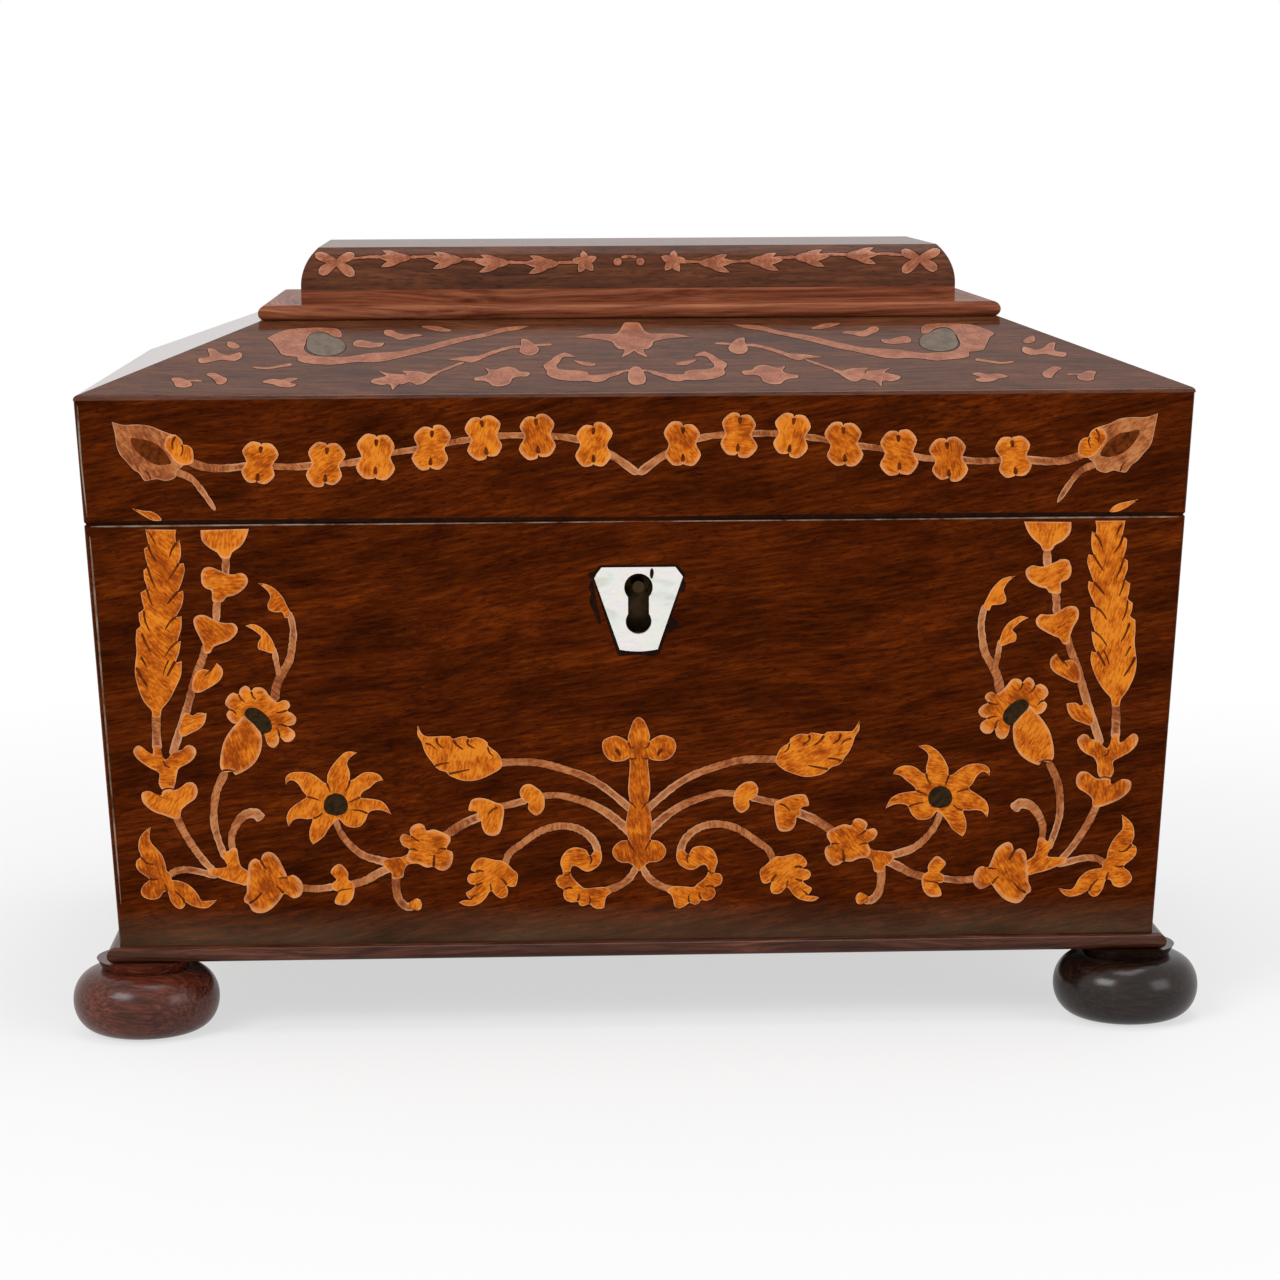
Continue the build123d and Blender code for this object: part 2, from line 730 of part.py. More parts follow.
lining_top = seam_z - lining_drop
lining_outer = tapered_block(board_floor_z, lining_top, wall_thickness)
lining_inner = tapered_block(board_floor_z + lining_thickness, seam_z, wall_thickness + lining_thickness)
lock_window = block_on(
    front_face,
    -half_plate_pocket,
    half_plate_pocket,
    -lock_height - lock_fit,
    cut_spare,
    plate_out,
    wall_in + 3 * lining_thickness,
)
save("case_lining", lining_outer - lining_inner - lock_window)

# Base moulding under the walls, and the four feet that stand under its corners
base_half_x = half_width(case_floor_z) + base_moulding_overhang
base_half_y = half_depth(case_floor_z) + base_moulding_overhang
foot_x = half_width(case_floor_z) - foot_inset
foot_y = half_depth(case_floor_z) - foot_inset


def base_section(half):
    return nosed_section(half, foot_height, base_moulding_height, base_moulding_width)


def foot():
    """A turned bun with a neck that flares to its collar and a spigot on top."""
    bun_top = foot_height - foot_neck_height
    spigot_top = foot_height + base_moulding_height - foot_spigot_head_room
    # The middle of a cubic curve lies three quarters of the way to its handles
    handle = foot_base_radius + (foot_radius - foot_base_radius) * 4 / 3
    edges = Line((0, 0), (foot_base_radius, 0)).edges()
    edges += Bezier(
        (foot_base_radius, 0),
        (handle, 0),
        (handle, bun_top),
        (foot_base_radius, bun_top),
    ).edges()
    edges += Polyline(
        (foot_base_radius, bun_top),
        (foot_collar_radius, foot_height),
        (foot_spigot_radius, foot_height),
        (foot_spigot_radius, spigot_top),
        (0, spigot_top),
        (0, 0),
    ).edges()
    return revolve(Plane.XZ * make_face(edges), Axis.Z)


spigot_holes = []
for across, across_name in ((-foot_x, "left"), (foot_x, "right")):
    for back, back_name in ((-foot_y, "front"), (foot_y, "rear")):
        save(f"foot_{back_name}_{across_name}", Pos(across, back) * foot())
        hole = Cylinder(foot_spigot_radius + foot_spigot_clearance, 4 * base_moulding_height)
        spigot_holes.append(Pos(across, back, foot_height) * hole)

for side in sides:
    save(f"base_moulding_{side}", rail(side, base_half_x, base_half_y, base_section) - spigot_holes)


def lid_outline(half):
    """The lid's whole section, with its eave eased."""
    bottom = half(seam_z)
    edge = half(eave_z)
    top = edge - slope_inset
    drawn = Polygon(
        (-bottom, seam_z),
        (bottom, seam_z),
        (edge, eave_z),
        (top, plateau_z),
        (-top, plateau_z),
        (-edge, eave_z),
        align=None,
    )
    eaves = drawn.vertices().filter_by(lambda corner: abs(corner.Y - eave_z) < 0.01)
    return fillet(eaves, eave_round)


# Lid: four mitred boards with veneers, four slopes with veneers, and the flat top board
lid_rounded = fillet(leaning_edges(tapered_block(seam_z, plateau_z, 0)), corner_round)
lid_rounded = chamfer(lid_rounded.faces().sort_by(Axis.Z)[0].edges(), seam_bevel)
lid_core = tapered_block(seam_z, plateau_z, veneer_thickness)
lid_room = tapered_block(seam_z - cut_spare, plateau_z, wall_thickness)
slope_under_veneer = under_slopes(veneer_thickness)
slope_under_board = under_slopes(slope_thickness)
plateau = Pos(0, 0, plateau_z) * Box(
    plateau_width,
    plateau_depth,
    slope_thickness,
    align=(Align.CENTER, Align.CENTER, Align.MAX),
)
lid_hull = crossed(lid_outline) & lid_rounded
lid_veneers = (lid_rounded - lid_core) & slope_under_veneer
lid_boards = (lid_core - lid_room) & slope_under_board
slope_veneers = lid_hull - slope_under_veneer - plateau
slope_boards = (lid_core & slope_under_veneer) - slope_under_board - plateau
lid_back_cuts = [stop_bevel(True), *hinge_recess(True)]

for side in sides:
    board = lid_boards & wedges[side]
    veneer = lid_veneers & wedges[side]
    slope_veneer = slope_veneers & wedges[side]
    if side == "front":
        board = board - link_pocket
        veneer = veneer - garland_holes
        slope_veneer = slope_veneer - slope_holes
    else:
        board = board - lid_back_cuts
        veneer = veneer - lid_back_cuts
    save(f"lid_{side}_board", board)
    save(f"lid_{side}_veneer", veneer)
    save(f"slope_{side}_board", slope_boards & wedges[side])
    save(f"slope_{side}_veneer", slope_veneer)
save("lid_top_board", plateau)

ceiling_z = eave_z - ceiling_drop
lid_lining_outer = tapered_block(seam_z + lining_drop, ceiling_z + lining_thickness, wall_thickness)
lid_lining_inner = tapered_block(seam_z, ceiling_z, wall_thickness + lining_thickness)
save("lid_lining", lid_lining_outer - lid_lining_inner)

# Top moulding round the flat, the plinth band on it and the pillow
top_half_x = plateau_width / 2 + top_moulding_overhang
top_half_y = plateau_depth / 2 + top_moulding_overhang


def top_section(half):
    return nosed_section(half, plateau_z, top_moulding_height, top_moulding_width)


for side in sides:
    save(f"top_moulding_{side}", rail(side, top_half_x, top_half_y, top_section))

plinth_half_x = plateau_width / 2 - plinth_inset
plinth_half_y = plateau_depth / 2 - plinth_inset
plinth_block = Box(
    2 * plinth_half_x,
    2 * plinth_half_y,
    plinth_height,
    align=(Align.CENTER, Align.CENTER, Align.MIN),
)
save("top_plinth", Pos(0, 0, top_moulding_z) * plinth_block)


def pillow_outline(half):
    """A flat top drawn in from the base by swelling sides."""
    top = half - pillow_draw
    middle_z = plinth_z + 0.6 * pillow_height
    middle = half - pillow_swell
    edges = Line((-half, plinth_z), (half, plinth_z)).edges()
    edges += ThreePointArc((half, plinth_z), (middle, middle_z), (top, pillow_z)).edges()
    edges += Line((top, pillow_z), (-top, pillow_z)).edges()
    edges += ThreePointArc((-top, pillow_z), (-middle, middle_z), (-half, plinth_z)).edges()
    return make_face(edges)


pillow_across = extrude(Plane.XZ * pillow_outline(plinth_half_x), amount=eave_depth, both=True)
pillow_along = extrude(Plane.YZ * pillow_outline(plinth_half_y), amount=eave_width, both=True)
save("pillow_top", pillow_across & pillow_along)
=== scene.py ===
import math
import random

import bmesh
import bpy
from mathutils import Matrix, Vector


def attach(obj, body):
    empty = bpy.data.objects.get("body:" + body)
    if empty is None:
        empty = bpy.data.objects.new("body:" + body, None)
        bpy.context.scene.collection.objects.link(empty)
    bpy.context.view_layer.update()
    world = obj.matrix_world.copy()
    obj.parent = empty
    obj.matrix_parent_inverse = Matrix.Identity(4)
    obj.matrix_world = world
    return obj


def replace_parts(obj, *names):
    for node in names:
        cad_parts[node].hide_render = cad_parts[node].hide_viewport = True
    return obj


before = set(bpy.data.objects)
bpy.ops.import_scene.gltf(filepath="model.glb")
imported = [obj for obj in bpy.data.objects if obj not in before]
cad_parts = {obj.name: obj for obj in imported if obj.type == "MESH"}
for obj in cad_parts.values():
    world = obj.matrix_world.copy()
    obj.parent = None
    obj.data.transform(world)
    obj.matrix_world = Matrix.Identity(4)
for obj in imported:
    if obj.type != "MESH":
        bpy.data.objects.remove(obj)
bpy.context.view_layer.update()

# A rosewood box with fruitwood marquetry, a mother-of-pearl escutcheon, turned feet and a padded inside.
# Lengths in the lists below are millimetres, and everything built is in metres.
mm = 0.001
# Millimetres in a metre, for patterns counted per metre
metre = 1000
random.seed(1860)
scene = bpy.context.scene

# Sizes that this file shares with the solids
eave_half_width = 140.0
eave_half_depth = 92.5
face_lean = 0.05
case_floor = 23.0
seam = 132.0
eave = 164.0
slope_inset = 43.5
slope_rise = 16.0
plinth_top = 187.5
pillow_height = 11.0
pillow_half_depth = 38.7
pillow_draw = 4.5
pillow_swell = 1.2
wall = 9.0


def half_width(height):
    return eave_half_width - face_lean * (eave - height)


def half_depth(height):
    return eave_half_depth - face_lean * (eave - height)


def new_object(name, data):
    """An object in the scene, at the origin."""
    made = bpy.data.objects.new(name, data)
    scene.collection.objects.link(made)
    return made


def object_of(name, mesh):
    """An object made of a bmesh, which it uses up."""
    data = bpy.data.meshes.new(name)
    mesh.to_mesh(data)
    mesh.free()
    return new_object(name, data)


# The camera stands where the photograph was taken from
camera_place = Vector((-0.0344, -0.9425, 0.2277))
camera_pitch = 0.147
camera_yaw = 0.0407
camera_roll = 0.0046
camera = new_object("camera", bpy.data.cameras.new("camera"))
camera.data.lens = 96.12
camera.data.sensor_width = 36.0
camera.data.clip_start = 0.01
turned = (
    Matrix.Rotation(-camera_yaw, 4, "Z")
    @ Matrix.Rotation(math.pi / 2 - camera_pitch, 4, "X")
    @ Matrix.Rotation(-camera_roll, 4, "Z")
)
camera.matrix_world = Matrix.Translation(camera_place) @ turned
scene.camera = camera


def linear(colour):
    """Turns an sRGB hex colour into the linear values that a shader takes."""
    values = [int(colour[i : i + 2], 16) / 255 for i in (1, 3, 5)]
    return [v / 12.92 if v <= 0.04045 else ((v + 0.055) / 1.055) ** 2.4 for v in values] + [1.0]


def add(tree, kind, links=None, stops=None, **settings):
    """Adds a node, sets it, and gives its inputs values or other nodes' outputs; stops fill a ramp."""
    node = tree.nodes.new("ShaderNode" + kind)
    for name, value in settings.items():
        setattr(node, name, value)
    for name, value in (links or {}).items():
        if isinstance(value, bpy.types.NodeSocket):
            tree.links.new(value, node.inputs[name])
        else:
            node.inputs[name].default_value = value
    if stops:
        elements = node.color_ramp.elements
        while len(elements) < len(stops):
            elements.new(0.5)
        for element, (place, colour) in zip(elements, stops):
            element.position = place
            element.color = linear(colour) if isinstance(colour, str) else (colour, colour, colour, 1.0)
    return node


def blank(name):
    """A material with nothing in it."""
    material = bpy.data.materials.new(name)
    material.use_nodes = True
    material.node_tree.nodes.clear()
    return material, material.node_tree


def finished(material, shader):
    """The material, with a shader on its surface."""
    add(material.node_tree, "OutputMaterial", {"Surface": shader.outputs[0]})
    return material


# How far the grain of a veneer strays from a straight line, in metres
grain_stray = 0.016
# Painted grey-green reflection along the foot of the case: the heights where it is full and where it ends, in
# metres
reflection_full_height = 0.0235
reflection_end_height = 0.033


def french_polished_wood(
    name, turn, colours, fibre=0.4, streak=1.2, run=15.0, figure=0.4, pores=0.5,
    coat=0.25, coat_ior=1.2, dull=0.12, tilt=0.0, painted_reflection=0.0,
):
    """Veneer or solid wood under French polish: a deep, wet-looking colour with streaks that run along
    the grain, short dark pores, and a clear gloss that only just shows the fibres. The grain runs along X,
    led off by turn and tilt in radians. fibre, streak and run are the width of a fibre, the width of a
    streak and its length in millimetres; figure and pores say how dark clouds and pores are, dull how
    rough the polish is, and the last one how strong a painted grey-green reflection is along the case's foot."""
    material, tree = blank(name)
    place = add(tree, "TexCoord").outputs["Object"]
    along = add(tree, "Mapping", {"Vector": place, "Rotation": (0, tilt, turn)}).outputs[0]
    drift = add(tree, "TexNoise", {"Vector": along, "Scale": 9.0, "Detail": 2.0}).outputs["Color"]
    bent = add(tree, "VectorMath", {0: drift, 1: (0.5, 0.5, 0.5)}, operation="SUBTRACT").outputs[0]
    stray = (0.0, grain_stray, grain_stray)
    bent = add(tree, "VectorMath", {0: bent, 1: stray}, operation="MULTIPLY").outputs[0]
    wavy = add(tree, "VectorMath", {0: along, 1: bent}, operation="ADD").outputs[0]
    grains = []
    for lengthwise, crosswise, detail, roughness in (
        (metre / run, metre / streak, 5.0, 0.62),
        (metre / run * 4, metre / fibre, 3.0, 0.6),
        (metre / run * 0.35, metre / streak * 0.12, 3.0, 0.5),
    ):
        drawn = add(tree, "Mapping", {"Vector": wavy, "Scale": (lengthwise, crosswise, crosswise)}).outputs[0]
        noise = {"Vector": drawn, "Scale": 1.0, "Detail": detail, "Roughness": roughness}
        grains.append(add(tree, "TexNoise", noise).outputs["Fac"])
    streaks, fibres, clouds = grains
    rings = add(tree, "Math", {0: clouds, 1: 7.0}, operation="MULTIPLY").outputs[0]
    rings = add(tree, "Math", {0: rings, 1: 0.5}, operation="PINGPONG").outputs[0]
    lines = add(tree, "MapRange", {"Value": rings, "From Min": 0.0, "From Max": 0.11}).outputs[0]
    base = add(tree, "ValToRGB", {"Fac": streaks}, list(zip((0.28, 0.46, 0.60, 0.80), colours))).outputs[0]
    tone = add(tree, "ValToRGB", {"Fac": clouds}, [(0.30, 1.0 - figure), (0.68, 1.0)]).outputs[0]
    mixing = {"data_type": "RGBA"}
    darkening = {"data_type": "RGBA", "blend_type": "MULTIPLY"}
    toned = add(tree, "Mix", {0: 1.0, 6: base, 7: tone}, **darkening).outputs[2]
    inked = add(tree, "Mix", {0: lines, 6: linear(colours[0]), 7: toned}, **mixing).outputs[2]
    thinned = add(tree, "Mix", {0: figure, 6: toned, 7: inked}, **mixing).outputs[2]
    pore = {"Value": fibres, "From Min": 0.34, "From Max": 0.46, "To Min": 1.0 - pores}
    pore = add(tree, "MapRange", pore).outputs[0]
    colour = add(tree, "Mix", {0: 1.0, 6: thinned, 7: pore}, **darkening).outputs[2]
    # A painted grey-green reflection, mixed into the colour towards the foot of the case and patchy with the
    # clouds
    height = add(tree, "SeparateXYZ", {"Vector": place}).outputs["Z"]
    low = {"Value": height, "From Min": reflection_full_height, "From Max": reflection_end_height, "To Min": painted_reflection, "To Max": 0.0}
    low = add(tree, "MapRange", low).outputs[0]
    reflected_share = add(tree, "Math", {0: low, 1: clouds}, operation="MULTIPLY").outputs[0]
    colour = add(tree, "Mix", {0: reflected_share, 6: colour, 7: linear("#54503F")}, **mixing).outputs[2]
    swell = add(tree, "TexNoise", {"Vector": place, "Scale": 55.0, "Detail": 1.0}).outputs["Fac"]
    relief = add(tree, "Math", {0: swell, 1: 6.0, 2: fibres}, operation="MULTIPLY_ADD").outputs[0]
    bump = add(tree, "Bump", {"Height": relief, "Strength": 0.35, "Distance": 0.00003}).outputs[0]
    worn = add(tree, "MapRange", {"Value": streaks, "To Min": 0.52, "To Max": 0.36}).outputs[0]
    polish = {
        "Base Color": colour,
        "Roughness": worn,
        "Specular IOR Level": 0.0,
        "Coat Weight": coat,
        "Coat Roughness": dull,
        "Coat IOR": coat_ior,
        "Normal": bump,
        "Coat Normal": bump,
    }
    return finished(material, add(tree, "BsdfPrincipled", polish))


rosewood_colours = ("#3A1304", "#521E04", "#652806", "#7E3A0D")
# A lighter, greyer copy of the rosewood for the slopes and the pillow: a painted sheen
sheen_lit_colours = ("#48281A", "#5C3320", "#6C3E26", "#805034")
moulding_colours = ("#4A1F12", "#7E4229", "#9A5A3C", "#B47450")
base_colours = ("#2A130A", "#4A2616", "#633726", "#855040")
# The feet's colours: a dark copy of painted shade, and a lighter, redder copy of painted light
shaded_foot_colours = ("#0C0503", "#1C0F09", "#2E1B11", "#46301F")
lit_foot_colours = ("#2A110A", "#522315", "#6C3423", "#885240")
board_colours = ("#5E3A22", "#80532F", "#966740", "#AC8052")
endways = math.pi / 2

# Rosewood veneer, rubbed and thin of polish in front, with a painted grey-green reflection near its foot; the
# lid's slopes are glossier, and a lighter, greyer copy of the wood that paints their sheen
rosewood_across = french_polished_wood(
    "worn_rosewood_across", 0.05, rosewood_colours,
    streak=0.9, run=10.0, figure=0.6, coat=0.12, coat_ior=1.15, tilt=0.16, painted_reflection=0.75,
)
rosewood_deep = french_polished_wood("worn_rosewood_endways", endways, rosewood_colours, coat=0.5, painted_reflection=0.6)
slope_across = french_polished_wood("sheen_lit_rosewood_across", 0.03, sheen_lit_colours, coat=0.6, coat_ior=1.42)
slope_deep = french_polished_wood("sheen_lit_rosewood_endways", endways, sheen_lit_colours, coat=0.9, coat_ior=1.45)
pillow_across = french_polished_wood("sheen_lit_rosewood_pillow", 0.0, sheen_lit_colours, coat=0.5, coat_ior=1.3)
# Mahogany mouldings: redder and lighter, with long even streaks
moulding = {"streak": 1.0, "run": 40.0, "figure": 0.2, "pores": 0.3, "coat_ior": 1.35}
moulding_across = french_polished_wood("polished_mahogany_across", 0.0, moulding_colours, **moulding)
moulding_deep = french_polished_wood("polished_mahogany_endways", endways, moulding_colours, **moulding)
base_moulding = {"run": 40.0, "coat": 0.5, "coat_ior": 1.4}
base_across = french_polished_wood("worn_base_moulding_across", 0.0, base_colours, **base_moulding)
base_deep = french_polished_wood("worn_base_moulding_endways", endways, base_colours, **base_moulding)
# Turned feet: one wood in two copies, nearly black on the right as painted shade, and lighter and redder on
# the left as painted light
feet = {"streak": 0.7, "run": 9.0, "coat": 0.7}
shaded_turned_wood = french_polished_wood(
    "turned_rosewood_painted_shade", 0.0, shaded_foot_colours, pores=0.35, figure=0.3, coat_ior=1.5, dull=0.22, **feet
)
lit_turned_wood = french_polished_wood(
    "turned_rosewood_painted_light", 0.0, lit_foot_colours, pores=0.4, figure=0.35, coat_ior=1.45, dull=0.24, **feet
)
# Planed mahogany boards of the carcass: bare, pale and long-grained
board = {"streak": 2.0, "run": 80.0, "figure": 0.2, "pores": 0.35, "coat": 0.05}
carcass_across = french_polished_wood("planed_mahogany_across", 0.0, board_colours, **board)
carcass_deep = french_polished_wood("planed_mahogany_endways", endways, board_colours, **board)


# Fibres in a metre of fruitwood, along each axis, and blotches that the hot sand left in a metre
fruitwood_fibres = (2200, 2200, 500)
sand_blotches = 240.0


def inlaid_fruitwood(name, colours, scorch, scorched, coat=0.25, coat_ior=1.2):
    """Sawn fruitwood, shaded in hot sand before it was let in: warm amber in the body of each petal, burnt
    brown at its foot and where it meets its neighbours, a paler rim at its tip, and fibres along its
    length. Real fibres are finer: these are drawn about 0.5 mm wide and 2 mm long, so that they show."""
    material, tree = blank(name)
    along, across, tone = (
        add(tree, "Attribute", attribute_name=layer).outputs["Fac"] for layer in ("along", "across", "tone")
    )
    place = add(tree, "TexCoord").outputs["Object"]
    angle = add(tree, "Math", {0: tone, 1: math.pi}, operation="MULTIPLY").outputs[0]
    lying = add(tree, "VectorRotate", {"Vector": place, "Axis": (0, 1, 0), "Angle": angle}).outputs[0]
    drawn = add(tree, "Mapping", {"Vector": lying, "Scale": fruitwood_fibres}).outputs[0]
    fibre = {"Vector": drawn, "Scale": 1.0, "Detail": 4.0, "Roughness": 0.65}
    fibres = add(tree, "TexNoise", fibre).outputs["Fac"]
    cloud = {"Vector": place, "Scale": sand_blotches, "Detail": 4.0, "Roughness": 0.62}
    blotch = add(tree, "TexNoise", cloud).outputs["Fac"]
    mixed = add(tree, "Math", {0: fibres, 1: blotch}, operation="ADD").outputs[0]
    lit = add(tree, "Math", {0: tone, 1: 0.14, 2: mixed}, operation="MULTIPLY_ADD").outputs[0]
    lit = add(tree, "Math", {0: lit, 1: 0.5}, operation="MULTIPLY").outputs[0]
    body = add(tree, "ValToRGB", {"Fac": lit}, list(zip((0.44, 0.53, 0.62), colours))).outputs[0]
    edge = add(tree, "Math", {0: across}, operation="ABSOLUTE").outputs[0]
    # How pale the rim and the tip are, and how burnt the foot and the seam between two petals are
    rim, outer, tip, foot, line, inner = (
        add(
            tree,
            "MapRange",
            {"Value": value, "From Min": low, "From Max": high, "To Min": start, "To Max": end},
        ).outputs[0]
        for value, low, high, start, end in (
            (edge, 0.4, 1.0, 0.0, 1.2),
            (along, 0.45, 0.8, 0.0, 1.0),
            (along, 0.82, 1.0, 0.0, 0.55),
            (along, 0.0, 0.22, 0.75, 0.0),
            (edge, 0.62, 0.98, 0.0, 1.0),
            (along, 0.35, 0.72, 1.0, 0.0),
        )
    )
    side_rim = add(tree, "Math", {0: rim, 1: outer}, operation="MULTIPLY").outputs[0]
    pale = add(tree, "Math", {0: side_rim, 1: tip}, operation="MAXIMUM").outputs[0]
    pale = add(tree, "Math", {0: pale, 1: blotch}, operation="MULTIPLY").outputs[0]
    pale = add(tree, "Math", {0: pale, 1: 1.8}, operation="MULTIPLY", use_clamp=True).outputs[0]
    rimmed = add(tree, "Mix", {0: pale, 6: body, 7: linear(colours[3])}, data_type="RGBA").outputs[2]
    seam_line = add(tree, "Math", {0: line, 1: inner}, operation="MULTIPLY").outputs[0]
    burnt = add(tree, "Math", {0: foot, 1: seam_line}, operation="MAXIMUM").outputs[0]
    ragged = add(tree, "Math", {0: burnt, 1: mixed}, operation="MULTIPLY").outputs[0]
    strength = add(tree, "Math", {0: ragged, 1: scorched}, operation="MULTIPLY", use_clamp=True).outputs[0]
    colour = add(tree, "Mix", {0: strength, 6: rimmed, 7: linear(scorch)}, data_type="RGBA").outputs[2]
    bump = add(tree, "Bump", {"Height": fibres, "Strength": 0.3, "Distance": 0.00003}).outputs[0]
    polish = {
        "Base Color": colour,
        "Roughness": 0.42,
        "Specular IOR Level": 0.03,
        "Coat Weight": coat,
        "Coat Roughness": 0.12,
        "Coat IOR": coat_ior,
        "Normal": bump,
        "Coat Normal": bump,
    }
    return finished(material, add(tree, "BsdfPrincipled", polish))


petal_colours = ("#8E3C06", "#BE5E0C", "#DC8020", "#E09C66")
stem_colours = ("#7A3E20", "#A25C30", "#BA784A", "#CC946C")
# Paler, greyer copies of the fruitwoods for the slope and the pillow: a painted sheen
sheen_lit_petal_colours = ("#7E4226", "#96563A", "#AA6A4A", "#B47C5E")
petal_wood = inlaid_fruitwood("sand_shaded_satinwood", petal_colours, "#6E3008", 0.85)
stem_wood = inlaid_fruitwood("sawn_pearwood_stem", stem_colours, "#5E2E16", 0.3)
sheen_lit_petal_wood = inlaid_fruitwood("sheen_lit_satinwood", sheen_lit_petal_colours, "#6A3A20", 0.5, 0.6, 1.42)
sheen_lit_stem_wood = inlaid_fruitwood("sheen_lit_pearwood_stem", sheen_lit_petal_colours, "#6A3A20", 0.25, 0.6, 1.42)


def plain(name, colour, dark, roughness, scale=400.0, shine=0.5, coat=0.0, metal=False):
    """A finish with one colour that clouds a little into a darker one, and a fine tooth. The tooth of a
    filed metal or a planed wood is finer than it is drawn here, 0.3 to 0.4 mm, so that it shows."""
    material, tree = blank(name)
    place = add(tree, "TexCoord").outputs["Object"]
    noise = {"Vector": place, "Scale": scale, "Detail": 4.0, "Roughness": 0.6}
    cloud = add(tree, "TexNoise", noise).outputs["Fac"]
    shade = add(tree, "ValToRGB", {"Fac": cloud}, [(0.35, dark), (0.62, colour)]).outputs[0]
    grain, depth = (2500.0, 0.00003) if metal else (3000.0, 0.00002)
    tooth = add(tree, "TexNoise", {"Vector": place, "Scale": grain, "Detail": 2.0}).outputs["Fac"]
    bump = add(tree, "Bump", {"Height": tooth, "Strength": 0.4, "Distance": depth}).outputs[0]
    range_of_roughness = {"Value": cloud, "To Min": roughness * 1.25, "To Max": roughness * 0.75}
    surface = {
        "Base Color": shade,
        "Roughness": add(tree, "MapRange", range_of_roughness).outputs[0],
        "Specular IOR Level": shine,
        "Metallic": 1.0 if metal else 0.0,
        "Coat Weight": coat,
        "Coat Roughness": 0.1,
        "Normal": bump,
    }
    return finished(material, add(tree, "BsdfPrincipled", surface))


# Pearwood dyed through for the flowers' eyes: flat and dull, and a greyer copy for the slope that paints its
# sheen
dark_wood = plain("dyed_pearwood_eye", "#35240F", "#1E1206", 0.5, scale=700.0, shine=0.06)
sheen_lit_dark_wood = plain("sheen_lit_dyed_pearwood", "#665340", "#4E3C2C", 0.5, shine=0.1, coat=0.5)
# The brown line that hot sand burns, the black glue in a saw cut, and a pale grey line on rubbed edges: bare
# wood and a painted highlight
scorch_line = plain("hot_sand_scorch_line", "#6A2E06", "#3A1602", 0.5, scale=700.0, shine=0.05)
glue_line = plain("glue_line_in_the_saw_kerf", "#200C04", "#100502", 0.6, shine=0.05)
worn_edge_and_highlight = plain("rubbed_edge_and_painted_highlight", "#8A7A6A", "#4A2A16", 0.6, scale=160.0, shine=0.1)
# Hinges and link plate in yellow brass with brown spots; the lock nearly black, a painted shade for the
# keyhole's depth; its works filed bright
aged_brass = plain("aged_cast_brass", "#B08A4A", "#7A5A2C", 0.38, scale=160.0, metal=True)
shaded_lock_brass = plain("brass_darkened_as_painted_shade", "#3E3020", "#1C140C", 0.5, scale=160.0, metal=True)
filed_steel = plain("filed_steel", "#8C8A86", "#5A5550", 0.34, scale=200.0, metal=True)


def mother_of_pearl():
    """Cut and polished shell: milky white with cream, pink and green clouds that lie in soft layers."""
    material, tree = blank("polished_mother_of_pearl")
    place = add(tree, "TexCoord").outputs["Object"]
    layered = {"Vector": place, "Rotation": (0, 0.6, 0), "Scale": (110, 110, 300)}
    layered = add(tree, "Mapping", layered).outputs[0]
    noise = {"Vector": layered, "Scale": 1.0, "Detail": 3.0, "Distortion": 0.8}
    layers = add(tree, "TexNoise", noise).outputs["Fac"]
    stops = [(0.30, "#D2CFC4"), (0.42, "#DDE3DC"), (0.52, "#E9E4DA"), (0.62, "#E4DDE0"), (0.74, "#F2EEE2")]
    surface = {
        "Base Color": add(tree, "ValToRGB", {"Fac": layers}, stops).outputs[0],
        "Roughness": 0.28,
        "Subsurface Weight": 0.15,
        "Subsurface Radius": (0.001, 0.001, 0.001),
        "Coat Weight": 0.6,
        "Coat Roughness": 0.08,
        "Normal": add(tree, "Bump", {"Height": layers, "Strength": 0.3, "Distance": 0.00006}).outputs[0],
    }
    return finished(material, add(tree, "BsdfPrincipled", surface))


def silk_velvet():
    """Faded crimson silk velvet: a short pile that drinks the light from the front and glows at its edges.
    The pile is drawn 0.4 mm across, about twice its real size, so that it shows."""
    material, tree = blank("faded_silk_velvet")
    place = add(tree, "TexCoord").outputs["Object"]
    pile = add(tree, "TexNoise", {"Vector": place, "Scale": 2600.0, "Detail": 2.0}).outputs["Fac"]
    crushed = {"Vector": place, "Scale": 38.0, "Detail": 4.0, "Roughness": 0.55}
    crushed = add(tree, "TexNoise", crushed).outputs["Fac"]
    stops = [(0.34, "#4E1018"), (0.52, "#6C1A24"), (0.70, "#8A2E36")]
    surface = {
        "Base Color": add(tree, "ValToRGB", {"Fac": crushed}, stops).outputs[0],
        "Roughness": 0.9,
        "Specular IOR Level": 0.1,
        "Sheen Weight": 0.7,
        "Sheen Roughness": 0.35,
        "Sheen Tint": linear("#D88A8E"),
        "Normal": add(tree, "Bump", {"Height": pile, "Strength": 0.7, "Distance": 0.0002}).outputs[0],
    }
    return finished(material, add(tree, "BsdfPrincipled", surface))


pearl = mother_of_pearl()
velvet = silk_velvet()


# Where a point of the marquetry lies: from millimetres across and up on a face, and lift out of it
def on_front(across, up, lift):
    length = math.hypot(1, face_lean)
    depth = -half_depth(seam) - (face_lean * up + lift) / length
    return mm * Vector((across, depth, seam + (up - face_lean * lift) / length))


def on_slope(across, up, lift):
    length = math.hypot(slope_inset, slope_rise)
    depth = -eave_half_depth + (slope_inset * up - slope_rise * lift) / length
    return mm * Vector((across, depth, eave + (slope_rise * up + slope_inset * lift) / length))


